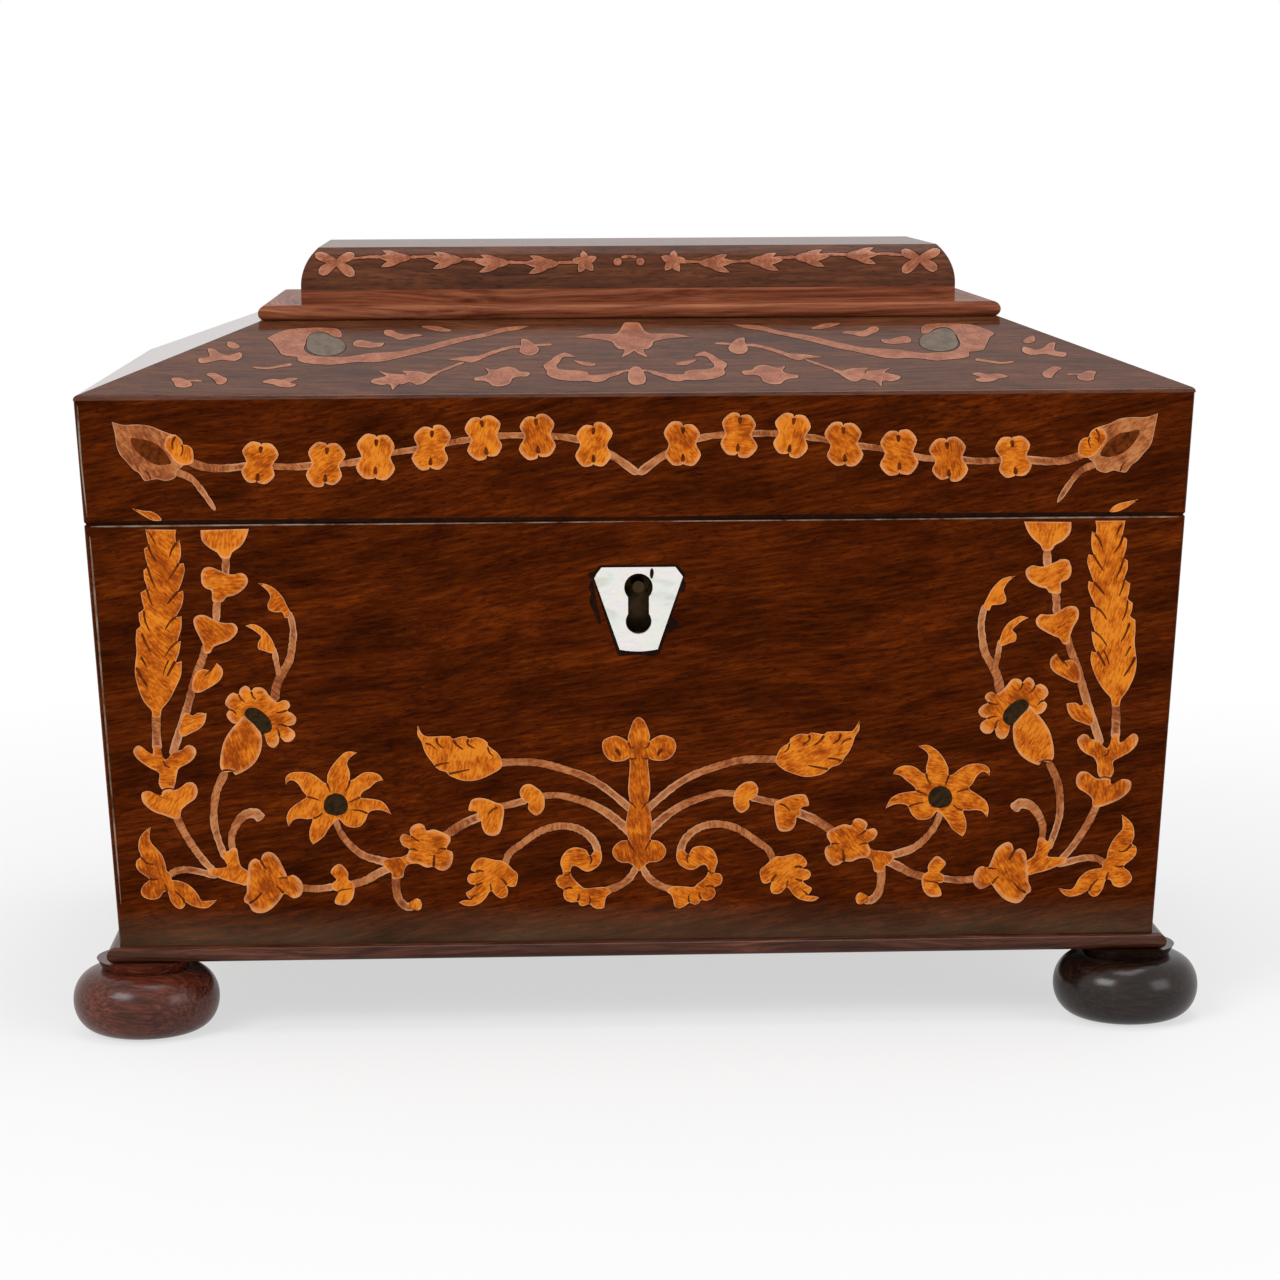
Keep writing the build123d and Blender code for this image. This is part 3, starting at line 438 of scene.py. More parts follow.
def circle_through(first, second, third):
    """Centre and radius of the circle through three points."""
    ax, ay = second - first
    bx, by = third - first
    scale = 2 * (ax * by - ay * bx)
    a = ax * ax + ay * ay
    b = bx * bx + by * by
    centre = first + Vector(((by * a - ay * b) / scale, (ax * b - bx * a) / scale))
    return centre, (centre - first).length


# The pillow's side is an arc through its foot, its swell and its top edge
pillow_centre, pillow_radius = circle_through(
    Vector((0.0, 0.0)), Vector((pillow_swell, 0.6 * pillow_height)), Vector((pillow_draw, pillow_height))
)
pillow_foot_angle = math.atan2(-pillow_centre.y, pillow_centre.x)


def on_pillow(across, up, lift):
    angle = pillow_foot_angle + up / pillow_radius
    inward = pillow_centre.x - (pillow_radius + lift) * math.cos(angle)
    height = pillow_centre.y + (pillow_radius + lift) * math.sin(angle)
    return mm * Vector((across, -pillow_half_depth + inward, plinth_top + height))


def keep(name, mesh, body, materials):
    """Makes a finished piece of a bmesh, on a body and in a slot."""
    piece = object_of(name, mesh)
    for material in materials:
        piece.data.materials.append(material)
    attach(piece, body)
    return piece


def raise_faces(mesh, faces):
    """Extrudes faces and gives back the vertices of their copies."""
    raised = bmesh.ops.extrude_face_region(mesh, geom=faces)["geom"]
    return [item for item in raised if isinstance(item, bmesh.types.BMVert)]


# Outlines of sawn petals: half the width, as a share, from the foot at 0 to the tip at 1
def leaf(t):
    return math.sin(math.pi * t**0.8) ** 0.85


def lobe(t):
    waist = 0.60
    if t < waist:
        return 0.5 + 0.5 * math.sin(math.pi / 2 * t / waist)
    return math.sqrt(max(0.0, 1 - ((t - waist) / (1 - waist)) ** 2))


def egg(t):
    return math.sqrt(max(0.0, 1 - (2 * t**0.85 - 1) ** 2))


outline_rows = {leaf: 12, lobe: 10, egg: 12}
wood_petal, wood_stem, wood_dark, wood_scorch, wood_kerf, wood_worn_and_highlight = range(6)
kerf_width = 0.18
kerf_lift = 0.02
piece_lift = 0.06
layer_lift = 0.012
# Each piece lies this much over the one before it, so that no two share a plane
piece_step = 0.00008
piece_depth = 0.3
# How far the fretsaw strays from its line, and the pale rim of a plate
wander = 0.1
rim_width = 0.4
# What part of its width a stem has at its last two points
stem_ends = (0.3, 0.8)
# Rings of a sawn plate, as shares of the way from its middle to its edge, and how near the edge each counts
plate_rings = ((0.0, 0.0), (0.45, 0.1), (0.8, 0.35), (0.9, 0.7), (1.0, 1.0))
# How far along its length a plate is shaded, and how near the edge the two sides of its rim count
plate_along = 0.7
rim_edges = (0.35, 1.0)
# Points of a piece nearer than this are one
merge = 0.004


def smooth_line(points, steps):
    """Points on a smooth curve through the given ones."""
    padded = [points[0], *points, points[-1]]
    line = []
    for i in range(1, len(padded) - 2):
        p0, p1, p2, p3 = (Vector(padded[i + k][:2]) for k in (-1, 0, 1, 2))
        for step in range(steps):
            t = step / steps
            slant = (p2 - p0) * t
            curve = (2 * p0 - 5 * p1 + 4 * p2 - p3) * t * t
            line.append(0.5 * (2 * p1 + slant + curve + (3 * p1 - p0 - 3 * p2 + p3) * t**3))
    line.append(Vector(points[-1][:2]))
    return [tuple(point) for point in line]


def closed_line(points, steps=3):
    """A smooth closed outline through points, with a corner at each point that carries a third value."""
    corners = [i for i, point in enumerate(points) if len(point) > 2]
    if not corners:
        count = len(points)
        run = smooth_line([points[(i - 2) % count] for i in range(count + 5)], steps)
        return run[2 * steps : (2 + count) * steps]
    points = points[corners[0] :] + points[: corners[0]]
    corners = [i - corners[0] for i in corners] + [len(points)]
    points = [*points, points[0]]
    outline = []
    for first, last in zip(corners, corners[1:]):
        outline += smooth_line(points[first : last + 1], steps)[:-1]
    return outline


def grown_line(outline, amount):
    """The outline moved outwards by an amount."""
    following = outline[1:] + outline[:1]
    area = sum(here[0] * after[1] - after[0] * here[1] for here, after in zip(outline, following))
    turn = 1 if area > 0 else -1
    grown = []
    for i, (x, y) in enumerate(outline):
        along = (Vector(following[i]) - Vector(outline[i - 1])).normalized()
        grown.append((x + turn * amount * along.y, y - turn * amount * along.x))
    return grown


class Sawing:
    """The pieces of one face while they are still flat: strips bent to a line, and sawn plates."""

    def __init__(self):
        self.mesh = bmesh.new()
        self.pieces = 0
        self.tone = 0.0
        for name in ("lift", "along", "across", "tone"):
            self.mesh.verts.layers.float.new(name)

    def lay(self, verts, values, wood, level, same_tone=False):
        """Sets each vertex of a new piece from its (x, y, along, across) and gives its faces their wood."""
        layers = self.mesh.verts.layers.float
        self.pieces += 1
        lift = kerf_lift if wood == wood_kerf else piece_lift + layer_lift * level
        lift += self.pieces * piece_step
        if not same_tone:
            self.tone = random.random()
        for vert, (x, y, along, across) in zip(verts, values):
            vert[layers["lift"]] = lift
            vert[layers["along"]] = along
            vert[layers["across"]] = across
            vert[layers["tone"]] = self.tone
            vert.co = (x, y, lift)
        for face in {face for vert in verts for face in vert.link_faces}:
            face.material_index = wood
        bmesh.ops.remove_doubles(self.mesh, verts=verts, dist=merge)

    def grid(self, columns, rows):
        """A new grid, as its vertices with the column and the row of each."""
        made = bmesh.ops.create_grid(self.mesh, x_segments=columns, y_segments=rows, size=1.0)["verts"]
        return [
            (vert, round((vert.co.x + 1) / 2 * columns), round((vert.co.y + 1) / 2 * rows)) for vert in made
        ]

    def strip(self, line, headings, halves, wood, level, side):
        """A strip of faces along a line of points, as wide at each as halves says."""
        rows = len(line) - 1
        columns = 4
        made = self.grid(columns, rows)
        values = []
        for vert, column, row in made:
            across = vert.co.x
            offset = across * halves[row]
            x = side * (line[row][0] + offset * math.cos(headings[row]))
            y = line[row][1] - offset * math.sin(headings[row])
            values.append((x, y, (vert.co.y + 1) / 2, across))
        self.lay([vert for vert, column, row in made], values, wood, level)

    def petal(self, outline, across, up, turn, length, width, wood=wood_petal, level=0):
        """A piece from its foot, pointing turn degrees outwards of straight up."""
        rows = outline_rows[outline]
        heading = math.radians(turn)
        for side in (1, -1):
            for grown, kind in ((kerf_width, wood_kerf), (0.0, wood)):
                step = (length + 2 * grown) / rows
                x = across - grown * math.sin(heading)
                y = up - grown * math.cos(heading)
                line, halves = [], []
                for row in range(rows + 1):
                    line.append((x, y))
                    halves.append(outline(row / rows) * width / 2 + (grown if 0 < row < rows else 0.0))
                    x += step * math.sin(heading)
                    y += step * math.cos(heading)
                self.strip(line, [heading] * len(line), halves, kind, level, side)

    def stem(self, points, first_width, last_width, wood=wood_stem, level=0, kerf=True, sides=(1, -1)):
        """A ribbon with rounded ends on a smooth line through points, from one width to another."""
        line = smooth_line(points, 6)
        last = len(line) - 1
        headings = []
        for i in range(len(line)):
            before = line[max(i - 1, 0)]
            after = line[min(i + 1, last)]
            headings.append(math.atan2(after[0] - before[0], after[1] - before[1]))
        for i in range(1, len(headings)):
            while headings[i] - headings[i - 1] > math.pi:
                headings[i] -= 2 * math.pi
            while headings[i] - headings[i - 1] < -math.pi:
                headings[i] += 2 * math.pi
        layers = ((kerf_width, wood_kerf), (0.0, wood)) if kerf else ((0.0, wood),)
        for side in sides:
            ragged = [random.uniform(-wander, wander) if kerf else 0.0 for point in line]
            for grown, kind in layers:
                halves = []
                for i in range(len(line)):
                    half = (first_width + (last_width - first_width) * i / last) / 2
                    near = min(i, last - i)
                    rounding = stem_ends[near] if near < len(stem_ends) else 1.0
                    halves.append(half * rounding + ragged[i] + grown)
                self.strip(line, headings, halves, kind, level, side)

    def line(self, points, width=0.55, level=3):
        """A scorched line over a piece, finer at its end."""
        self.stem(points, width, width * 0.45, wood_scorch, level, False)

    def plate(self, points, middle=None, wood=wood_petal, level=1, sides=(1, -1)):
        """A piece sawn to an outline of points. One with a middle shades from there to its edge; a long
        or curled one has none, and only its rim is marked."""
        for side in sides:
            strayed = []
            for x, y, *corner in points:
                x = side * x + random.uniform(-wander, wander)
                strayed.append((x, y + random.uniform(-wander, wander), *corner))
            outline = closed_line(strayed)
            if wood != wood_kerf:
                cut = (grown_line(outline, -kerf_width), grown_line(outline, kerf_width))
                self.ribbon(cut, (0, 0), wood_kerf, 0)
            if middle is None:
                self.outlined(outline, wood, level)
                continue
            count = len(outline)
            made = self.grid(count, len(plate_rings) - 1)
            values = []
            for vert, column, row in made:
                share, edge = plate_rings[row]
                x, y = outline[column % count]
                centre_x = side * middle[0]
                place = (centre_x + (x - centre_x) * share, middle[1] + (y - middle[1]) * share)
                values.append((*place, plate_along, edge))
            self.lay([vert for vert, column, row in made], values, wood, level)

    def ribbon(self, lines, edges, wood, level, same_tone=False):
        """A closed band between two outlines, with how near each is to the edge of its piece."""
        count = len(lines[0])
        made = self.grid(count, 1)
        values = [(*lines[row][column % count], plate_along, edges[row]) for vert, column, row in made]
        self.lay([vert for vert, column, row in made], values, wood, level, same_tone)

    def outlined(self, outline, wood, level):
        """One face on an outline, and the rim round it, which lies a little over it."""
        verts = [self.mesh.verts.new((x, y, 0.0)) for x, y in outline]
        self.mesh.faces.new(verts)
        self.lay(verts, [(x, y, plate_along, 0.0) for x, y in outline], wood, level)
        if wood != wood_kerf:
            self.ribbon((grown_line(outline, -rim_width), outline), rim_edges, wood, level + 0.4, True)

    def finish(self, name, place, body, woods=None):
        """Gives the flat pieces their thickness, lays them on the face and makes an object of them."""
        mesh = self.mesh
        under = list(mesh.verts)
        lifts = mesh.verts.layers.float["lift"]
        upper = raise_faces(mesh, list(mesh.faces))
        for vert in under:
            vert.co = place(vert.co.x, vert.co.y, -piece_depth)
        for vert in upper:
            vert.co = place(vert.co.x, vert.co.y, vert[lifts])
        bmesh.ops.recalc_face_normals(mesh, faces=mesh.faces)
        mesh.verts.layers.float.remove(mesh.verts.layers.float["lift"])
        woods = woods or (petal_wood, stem_wood, dark_wood)
        return keep(name, mesh, body, [*woods, scorch_line, glue_line, worn_edge_and_highlight])


def lobed(across, up, tips):
    """The outline of a flower: round lobes at (turn, reach), with a notch between near ones and a deeper
    waist between far ones."""
    shoulder_turn, shoulder_reach, widest = 0.4, 0.9, 80
    notch_depth, waist_depth, far = 0.82, 0.72, 100
    points = []
    for i, (turn, reach) in enumerate(tips):
        following, following_reach = tips[(i + 1) % len(tips)]
        gap = (following - turn) % 360
        before = (turn - tips[i - 1][0]) % 360
        notch = notch_depth * min(reach, following_reach) * (1.0 if gap < far else waist_depth)
        for bearing, distance in (
            (turn - shoulder_turn * min(before, widest), shoulder_reach * reach),
            (turn, reach),
            (turn + shoulder_turn * min(gap, widest), shoulder_reach * reach),
            (turn + gap / 2, notch),
        ):
            angle = math.radians(bearing)
            points.append((across + distance * math.sin(angle), up + distance * math.cos(angle)))
    return points


def both_halves(half):
    """A whole outline on the middle line, from its half."""
    return half + [(-point[0], *point[1:]) for point in reversed(half) if abs(point[0]) > 0.01]


# The front of the case, one half: across from the middle and up from the seam
front = Sawing()

# Stems first, under the flowers
for points, first, last in (
    ([(121.7, -47.4), (121.9, -52.5), (121.8, -58.4)], 2.2, 2.3),
    ([(118.0, -73.8), (116.0, -78.6), (113.4, -83.2), (110.6, -87.2), (108.2, -89.8)], 2.1, 1.7),
    ([(103.3, -7.0), (103.3, -9.6), (103.5, -13.4)], 2.0, 2.0),
    ([(105.2, -17.6), (105.9, -21.4), (106.0, -25.2)], 2.4, 1.7),
    ([(108.8, -30.6), (109.8, -34.4), (111.5, -38.6), (112.8, -43.0), (114.1, -47.4), (116.0, -53.0),
      (118.2, -59.4)], 1.9, 2.2),
    ([(92.0, -45.6), (91.4, -41.6), (89.8, -38.2), (88.0, -35.0), (87.2, -31.0), (86.9, -27.0),
      (87.8, -22.4)], 2.5, 1.5),
    ([(90.4, -39.4), (91.2, -36.0), (91.8, -31.6)], 1.7, 1.3),
    ([(104.6, -63.4), (106.9, -68.0), (107.8, -72.0), (108.0, -77.0), (107.0, -81.6),
      (105.2, -86.8)], 2.1, 1.7),
    ([(103.2, -86.4), (103.7, -81.0), (102.4, -77.4), (100.2, -75.0), (97.6, -74.6),
      (95.9, -76.2)], 1.6, 2.9),
    ([(77.6, -75.4), (76.2, -79.6), (73.8, -83.0), (70.6, -85.8), (66.8, -87.2), (62.6, -88.2)], 1.5, 2.2),
    ([(120.6, -91.4), (118.4, -89.6), (115.6, -89.1), (112.4, -89.6), (107.4, -91.0)], 1.9, 1.7),
    ([(87.4, -94.2), (82.0, -94.6), (76.6, -93.8)], 2.0, 1.8),
    ([(74.8, -94.0), (70.0, -92.6), (66.8, -90.8), (62.6, -88.8)], 2.0, 2.3),
    ([(62.0, -89.6), (62.2, -94.0), (61.6, -97.4), (59.8, -99.5), (57.6, -99.6)], 2.3, 2.0),
    ([(51.0, -82.2), (47.2, -79.5), (44.0, -77.6), (40.0, -76.0)], 2.3, 2.3),
    ([(36.6, -73.8), (32.4, -73.0), (28.0, -71.8)], 2.0, 1.7),
    ([(26.4, -71.2), (21.0, -70.8), (16.4, -71.8), (12.0, -73.4), (8.2, -75.6), (4.8, -78.4),
      (1.6, -81.6)], 1.6, 2.5),
    ([(36.4, -62.2), (30.0, -62.0), (25.0, -62.4), (19.6, -63.9), (14.2, -65.8), (9.6, -68.4), (5.4, -71.8),
      (1.4, -75.4)], 2.0, 1.9),
    ([(34.6, -89.6), (33.2, -86.0), (30.4, -83.8), (26.6, -81.0), (23.4, -79.5), (19.8, -78.9), (16.4, -79.4),
      (13.6, -80.9), (11.5, -83.2), (10.6, -86.0), (10.6, -88.4)], 1.8, 2.0),
    ([(9.6, -96.4), (5.4, -95.0), (2.4, -92.8), (0.6, -89.6)], 2.0, 1.8),
):
    front.stem(points, first, last)

# The tall ear at the corner: one broad toothed piece, with a scorched line from every notch to its middle
front.plate([
    (123.0, -1.4, 1), (122.7, -3.6), (122.5, -5.2), (123.5, -6.2, 1), (123.3, -8.6), (122.8, -10.6),
    (123.9, -11.6, 1), (123.8, -14.0), (123.1, -16.2), (124.7, -17.4, 1), (124.4, -19.8), (124.0, -21.4),
    (125.3, -22.4, 1), (125.2, -24.6), (124.9, -25.8), (126.1, -26.8, 1), (126.3, -29.6), (126.1, -32.4),
    (126.5, -35.0), (126.8, -38.0), (126.2, -41.5), (124.8, -45.0), (123.0, -47.6), (122.6, -49.2),
    (120.8, -49.0), (120.3, -47.2), (118.5, -45.0), (116.7, -42.0), (115.4, -39.0), (115.0, -36.8),
    (115.1, -34.9, 1), (116.4, -35.2), (115.6, -32.8), (115.1, -29.8, 1), (115.8, -29.8), (114.9, -26.6),
    (114.7, -23.4, 1), (116.0, -23.6), (114.7, -21.0), (114.0, -18.6), (114.1, -16.8, 1), (115.4, -17.2),
    (114.7, -15.6), (114.0, -13.4), (113.6, -11.6), (113.9, -9.9, 1), (115.0, -10.0), (114.5, -8.2),
    (114.4, -6.0), (114.6, -4.0, 1), (115.5, -4.6), (115.6, -3.0), (115.4, -1.4, 1),
])
for points, width in (
    ([(115.3, -4.6), (116.6, -6.4), (117.3, -8.4)], 0.7),
    ([(122.6, -4.8), (121.8, -7.4), (120.4, -9.6)], 0.7),
    ([(122.2, -2.0), (121.2, -4.0), (120.6, -5.2)], 0.5),
    ([(114.9, -9.8), (116.4, -12.2), (117.8, -14.2)], 0.7),
    ([(122.9, -10.6), (122.0, -13.8), (121.0, -16.0)], 0.7),
    ([(115.3, -17.0), (117.0, -18.8), (118.2, -20.4)], 0.8),
    ([(123.2, -16.2), (122.6, -18.8), (121.8, -20.8)], 0.6),
    ([(116.0, -23.5), (117.6, -24.8), (118.9, -26.8)], 0.7),
    ([(124.1, -21.8), (123.8, -24.6), (122.8, -27.2)], 0.6),
    ([(124.8, -27.6), (123.7, -30.6), (122.6, -32.6)], 0.7),
    ([(115.8, -29.8), (117.6, -31.4), (119.2, -33.8)], 0.6),
    ([(125.2, -33.6), (124.4, -35.2), (123.8, -36.4)], 0.6),
    ([(116.6, -34.9), (117.8, -37.0), (118.8, -38.8)], 0.9),
    ([(118.2, -34.6), (119.2, -36.6), (119.8, -38.6)], 0.5),
    ([(126.4, -36.4), (125.4, -38.6), (123.6, -41.6)], 0.9),
):
    front.line(points, width)

# Two trefoils on the stem below it
front.plate([
    (127.8, -58.0), (127.2, -56.8), (126.2, -56.6), (125.0, -57.4), (124.0, -58.4), (122.9, -58.7),
    (122.7, -56.6), (121.2, -56.6), (120.8, -58.4), (120.0, -60.2), (118.8, -59.6), (117.6, -58.2),
    (115.6, -57.8), (114.6, -56.8), (113.4, -56.6), (112.2, -57.6), (112.1, -58.9), (113.0, -60.4),
    (114.4, -61.6), (116.4, -62.6), (117.2, -64.4), (117.5, -66.6), (118.4, -68.2), (120.6, -68.3),
    (121.6, -66.4), (121.4, -63.8), (123.4, -62.6), (125.6, -61.2), (127.2, -59.8),
], (119.8, -62.4))
front.plate([
    (126.2, -69.2), (125.9, -71.2), (124.6, -72.9), (122.6, -74.1), (120.4, -74.9), (118.4, -75.6),
    (116.6, -75.6), (116.2, -73.4), (114.6, -71.9), (112.8, -70.7), (112.0, -69.0), (112.2, -67.2),
    (113.3, -66.2), (114.8, -66.5), (116.0, -67.4), (117.4, -68.2), (120.6, -68.4), (121.0, -69.5),
    (122.2, -69.6), (123.6, -68.6), (125.0, -68.4),
], (118.4, -71.2), level=2)
front.line([(120.4, -60.6), (119.8, -61.8), (118.6, -62.4)], 0.5)
front.line([(121.0, -68.2), (119.4, -67.8), (117.8, -68.0)], 0.5)

# The cup that the seam cuts, the hanging cups under it and the leaves on their stem
front.plate([
    (109.3, -1.5, 1), (109.1, -4.2), (107.4, -6.2), (105.4, -7.4), (104.3, -8.8), (102.3, -8.8),
    (101.6, -7.4), (99.6, -5.8), (98.2, -3.6), (97.3, -1.4, 1),
], (103.3, -4.2))
front.plate([
    (109.4, -12.4), (108.6, -11.2), (107.0, -11.0), (105.4, -11.7), (103.4, -12.7), (101.6, -12.9),
    (99.6, -12.6), (98.2, -13.4), (97.9, -15.0), (99.2, -16.8), (101.4, -18.2), (103.4, -18.7),
    (104.3, -19.8), (106.9, -19.8), (107.0, -17.2), (108.4, -16.5), (109.4, -15.2), (109.6, -13.6),
], (104.2, -15.0))
front.plate([
    (111.7, -24.4), (110.6, -23.2), (108.8, -23.3), (106.9, -24.2), (105.2, -25.1), (103.4, -25.4),
    (101.8, -25.3), (100.8, -26.6), (101.3, -28.2), (103.2, -29.8), (105.4, -30.8), (107.0, -31.4),
    (107.9, -33.0), (109.5, -32.8), (109.6, -30.8), (110.5, -28.6), (111.5, -26.4),
], (106.8, -27.6))
front.plate([
    (106.2, -35.5, 1), (104.9, -36.8), (104.7, -38.6), (105.9, -40.3), (108.4, -41.8), (111.0, -43.0),
    (112.6, -42.4), (112.4, -39.6), (111.2, -37.6), (109.4, -37.0), (107.6, -37.4),
], (109.0, -39.4))
front.plate([
    (109.1, -48.4, 1), (111.4, -48.3), (112.8, -49.0), (114.6, -48.2), (115.6, -50.4), (116.4, -53.2),
    (115.2, -54.3), (113.0, -53.4), (111.2, -52.6), (109.7, -50.9),
], (113.0, -50.9))
front.line([(107.4, -37.2), (108.4, -37.8), (109.2, -38.8)], 0.5)

# Two hooked buds on the arched stem
front.plate([
    (95.3, -15.2, 1), (93.4, -15.5), (92.0, -16.1), (90.6, -17.2), (89.2, -18.9), (88.2, -21.0),
    (87.4, -23.2), (88.8, -24.2), (89.6, -22.7), (91.2, -22.6), (92.8, -22.0), (93.1, -20.6), (92.4, -19.0),
    (92.9, -17.6), (93.9, -16.4),
])
front.plate([
    (98.9, -26.0, 1), (97.0, -25.6), (95.4, -26.2), (94.0, -27.2), (92.8, -28.6), (91.9, -30.6),
    (91.5, -32.8), (92.6, -33.2), (94.2, -32.5), (95.7, -32.0), (95.8, -30.4), (94.9, -29.1), (95.7, -28.2),
    (97.1, -27.0),
])

# The scalloped flower, its dark eye and the large petal below
front.plate([
    (104.4, -46.0), (103.8, -44.1), (102.4, -43.2), (101.0, -43.6), (100.6, -42.4), (99.4, -41.4),
    (98.3, -42.0), (97.8, -42.9), (97.0, -42.0), (95.6, -41.8), (94.4, -42.4), (93.4, -44.0), (92.0, -45.2),
    (91.0, -45.7), (89.8, -45.2), (88.6, -45.6), (88.2, -46.8), (88.9, -47.9), (87.6, -48.6), (86.6, -50.0),
    (87.2, -51.5), (88.8, -52.1), (87.4, -53.1), (87.0, -54.6), (88.2, -56.0), (89.8, -56.0), (90.9, -54.8),
    (91.2, -56.4), (92.4, -57.5), (93.8, -57.0), (94.5, -55.4), (94.6, -53.6), (98.0, -52.4), (101.2, -51.2),
    (102.6, -51.0), (103.8, -50.0), (104.1, -48.6), (103.3, -47.4),
], (96.0, -48.6), level=1)
for points in (
    [(103.4, -47.5), (102.4, -47.9), (101.6, -48.8)],
    [(101.0, -43.6), (100.4, -44.8), (99.4, -45.6)],
    [(97.8, -42.9), (97.4, -44.2), (96.6, -45.0)],
    [(88.9, -47.9), (90.6, -48.4), (91.6, -48.4)],
    [(88.8, -52.1), (90.4, -51.6), (91.4, -51.6)],
    [(90.9, -54.8), (91.2, -53.2), (91.8, -52.4)],
):
    front.line(points, 0.6)
front.plate([
    (99.8, -49.1), (101.6, -51.0), (103.6, -53.3), (105.0, -56.0), (105.9, -59.6), (106.0, -62.4),
    (105.0, -63.7), (103.0, -63.5), (102.4, -64.5), (101.2, -64.2), (99.4, -63.2), (97.4, -61.6),
    (96.0, -59.0), (95.4, -56.0), (95.7, -53.6), (97.0, -51.4), (98.4, -49.6),
], (100.8, -57.6), level=2)
front.line([(105.6, -63.3), (103.8, -63.2), (102.2, -63.7)], 0.6, 4)
front.plate([
    (99.5, -48.6), (98.6, -47.3), (96.8, -47.2), (94.9, -48.4), (93.2, -50.4), (92.9, -52.6), (94.2, -53.8),
    (95.6, -53.4), (97.4, -51.4), (98.9, -49.9),
], (96.2, -50.4), wood_dark, 5)

# The star with curling tips
front.plate([
    (79.2, -66.8), (79.1, -64.8), (78.0, -62.6), (76.4, -60.6), (74.8, -59.2), (73.2, -58.7),
    (71.4, -59.1, 1), (73.2, -60.3), (74.0, -61.8), (73.7, -63.2), (73.3, -64.6), (73.4, -66.2),
    (72.4, -66.0), (71.0, -64.8), (69.4, -64.2), (67.4, -64.3), (65.8, -65.0), (64.9, -66.2, 1),
    (66.8, -66.8), (68.4, -68.2), (70.2, -69.4), (70.8, -70.7), (69.4, -71.0), (67.4, -71.2), (65.6, -71.8),
    (64.2, -73.0), (63.1, -75.4, 1), (65.2, -74.3), (67.2, -74.2), (68.8, -74.8), (69.6, -76.8),
    (71.2, -78.3), (73.2, -78.5), (75.0, -77.8), (76.4, -76.4), (77.6, -77.2), (79.2, -79.2), (80.2, -80.8),
    (81.6, -82.0), (83.0, -83.0, 1), (83.9, -81.4), (83.8, -78.8), (83.0, -76.2), (84.4, -76.2),
    (86.4, -76.0), (88.0, -76.5), (89.2, -78.0, 1), (89.6, -76.0), (89.0, -74.0), (87.4, -72.4),
    (85.8, -71.4), (84.4, -70.4), (85.4, -69.0), (86.3, -67.3), (87.6, -66.1), (88.8, -66.2),
    (89.6, -67.2, 1), (89.7, -65.4), (88.4, -64.2), (86.0, -63.8), (83.8, -64.2), (81.8, -65.2),
    (80.4, -66.4),
])
front.petal(egg, 77.1, -75.5, 0, 6.0, 6.2, wood=wood_dark, level=4)
for points in (
    [(79.3, -66.8), (78.8, -68.2), (78.4, -69.4)],
    [(73.4, -66.2), (73.8, -67.8), (74.6, -69.2)],
    [(70.9, -70.7), (72.4, -71.4), (73.8, -72.0)],
    [(69.0, -75.0), (71.0, -74.2), (73.0, -74.0)],
    [(82.9, -76.1), (81.6, -75.6), (80.4, -74.6)],
    [(84.4, -70.4), (82.8, -70.8), (81.2, -71.4)],
):
    front.line(points, 0.6)

# The corner flower
front.plate([
    (124.0, -77.8, 1), (125.6, -79.0), (127.0, -80.8), (127.3, -83.4), (126.8, -85.5), (127.8, -86.4),
    (128.0, -88.0), (127.0, -89.7), (124.8, -91.4), (126.2, -92.8), (127.1, -94.6), (126.4, -96.1),
    (124.4, -97.0), (122.4, -96.5), (121.5, -95.1), (120.2, -95.0), (119.6, -97.2), (118.4, -99.0),
    (117.0, -99.4), (115.9, -98.4), (116.0, -97.6), (114.4, -98.5), (112.4, -99.2), (110.6, -99.4),
    (109.2, -98.6), (107.9, -97.1, 1), (110.0, -97.4), (111.6, -97.4), (112.4, -96.2), (113.4, -94.4),
    (115.2, -92.8), (117.4, -92.0), (119.2, -91.8), (119.2, -90.2), (120.3, -89.4), (120.6, -87.6),
    (121.4, -85.2), (122.8, -83.4), (124.2, -81.6), (124.3, -79.6),
])
for points in (
    [(126.8, -85.6), (125.2, -87.3), (123.4, -87.6)],
    [(124.8, -91.4), (123.6, -91.6), (122.6, -91.4)],
    [(116.0, -98.0), (116.6, -96.6), (118.4, -94.6)],
    [(120.4, -95.0), (120.6, -93.8), (121.0, -92.8)],
):
    front.line(points, 0.7)

# The broad fork and the large flower beside it
front.plate([
    (109.6, -89.0), (107.0, -88.9), (105.0, -88.5), (105.7, -86.6), (106.4, -84.0), (104.9, -84.5),
    (103.8, -83.6), (102.5, -83.8), (102.2, -86.0), (101.4, -88.4), (100.0, -89.6), (98.0, -91.4),
    (100.0, -93.4), (102.0, -93.1), (105.0, -92.2), (108.0, -91.1), (109.8, -90.2),
], (103.4, -90.0))
front.plate([
    (100.0, -91.2), (99.7, -89.2), (99.2, -87.4), (97.9, -86.4), (96.5, -87.0), (96.0, -85.5), (94.8, -84.7),
    (93.2, -85.2), (91.8, -86.6), (91.0, -88.4), (90.3, -90.2), (89.7, -91.4), (88.4, -90.9), (87.0, -91.6),
    (86.0, -93.2), (86.0, -95.2), (87.0, -96.7), (88.4, -97.0), (89.8, -96.2), (90.8, -95.8), (91.8, -97.4),
    (93.6, -99.4), (95.6, -100.7), (97.4, -100.9), (98.9, -100.2), (99.7, -98.6), (100.8, -97.8),
    (100.9, -96.6), (100.2, -95.2), (100.1, -93.4),
], (94.8, -92.4), level=2)
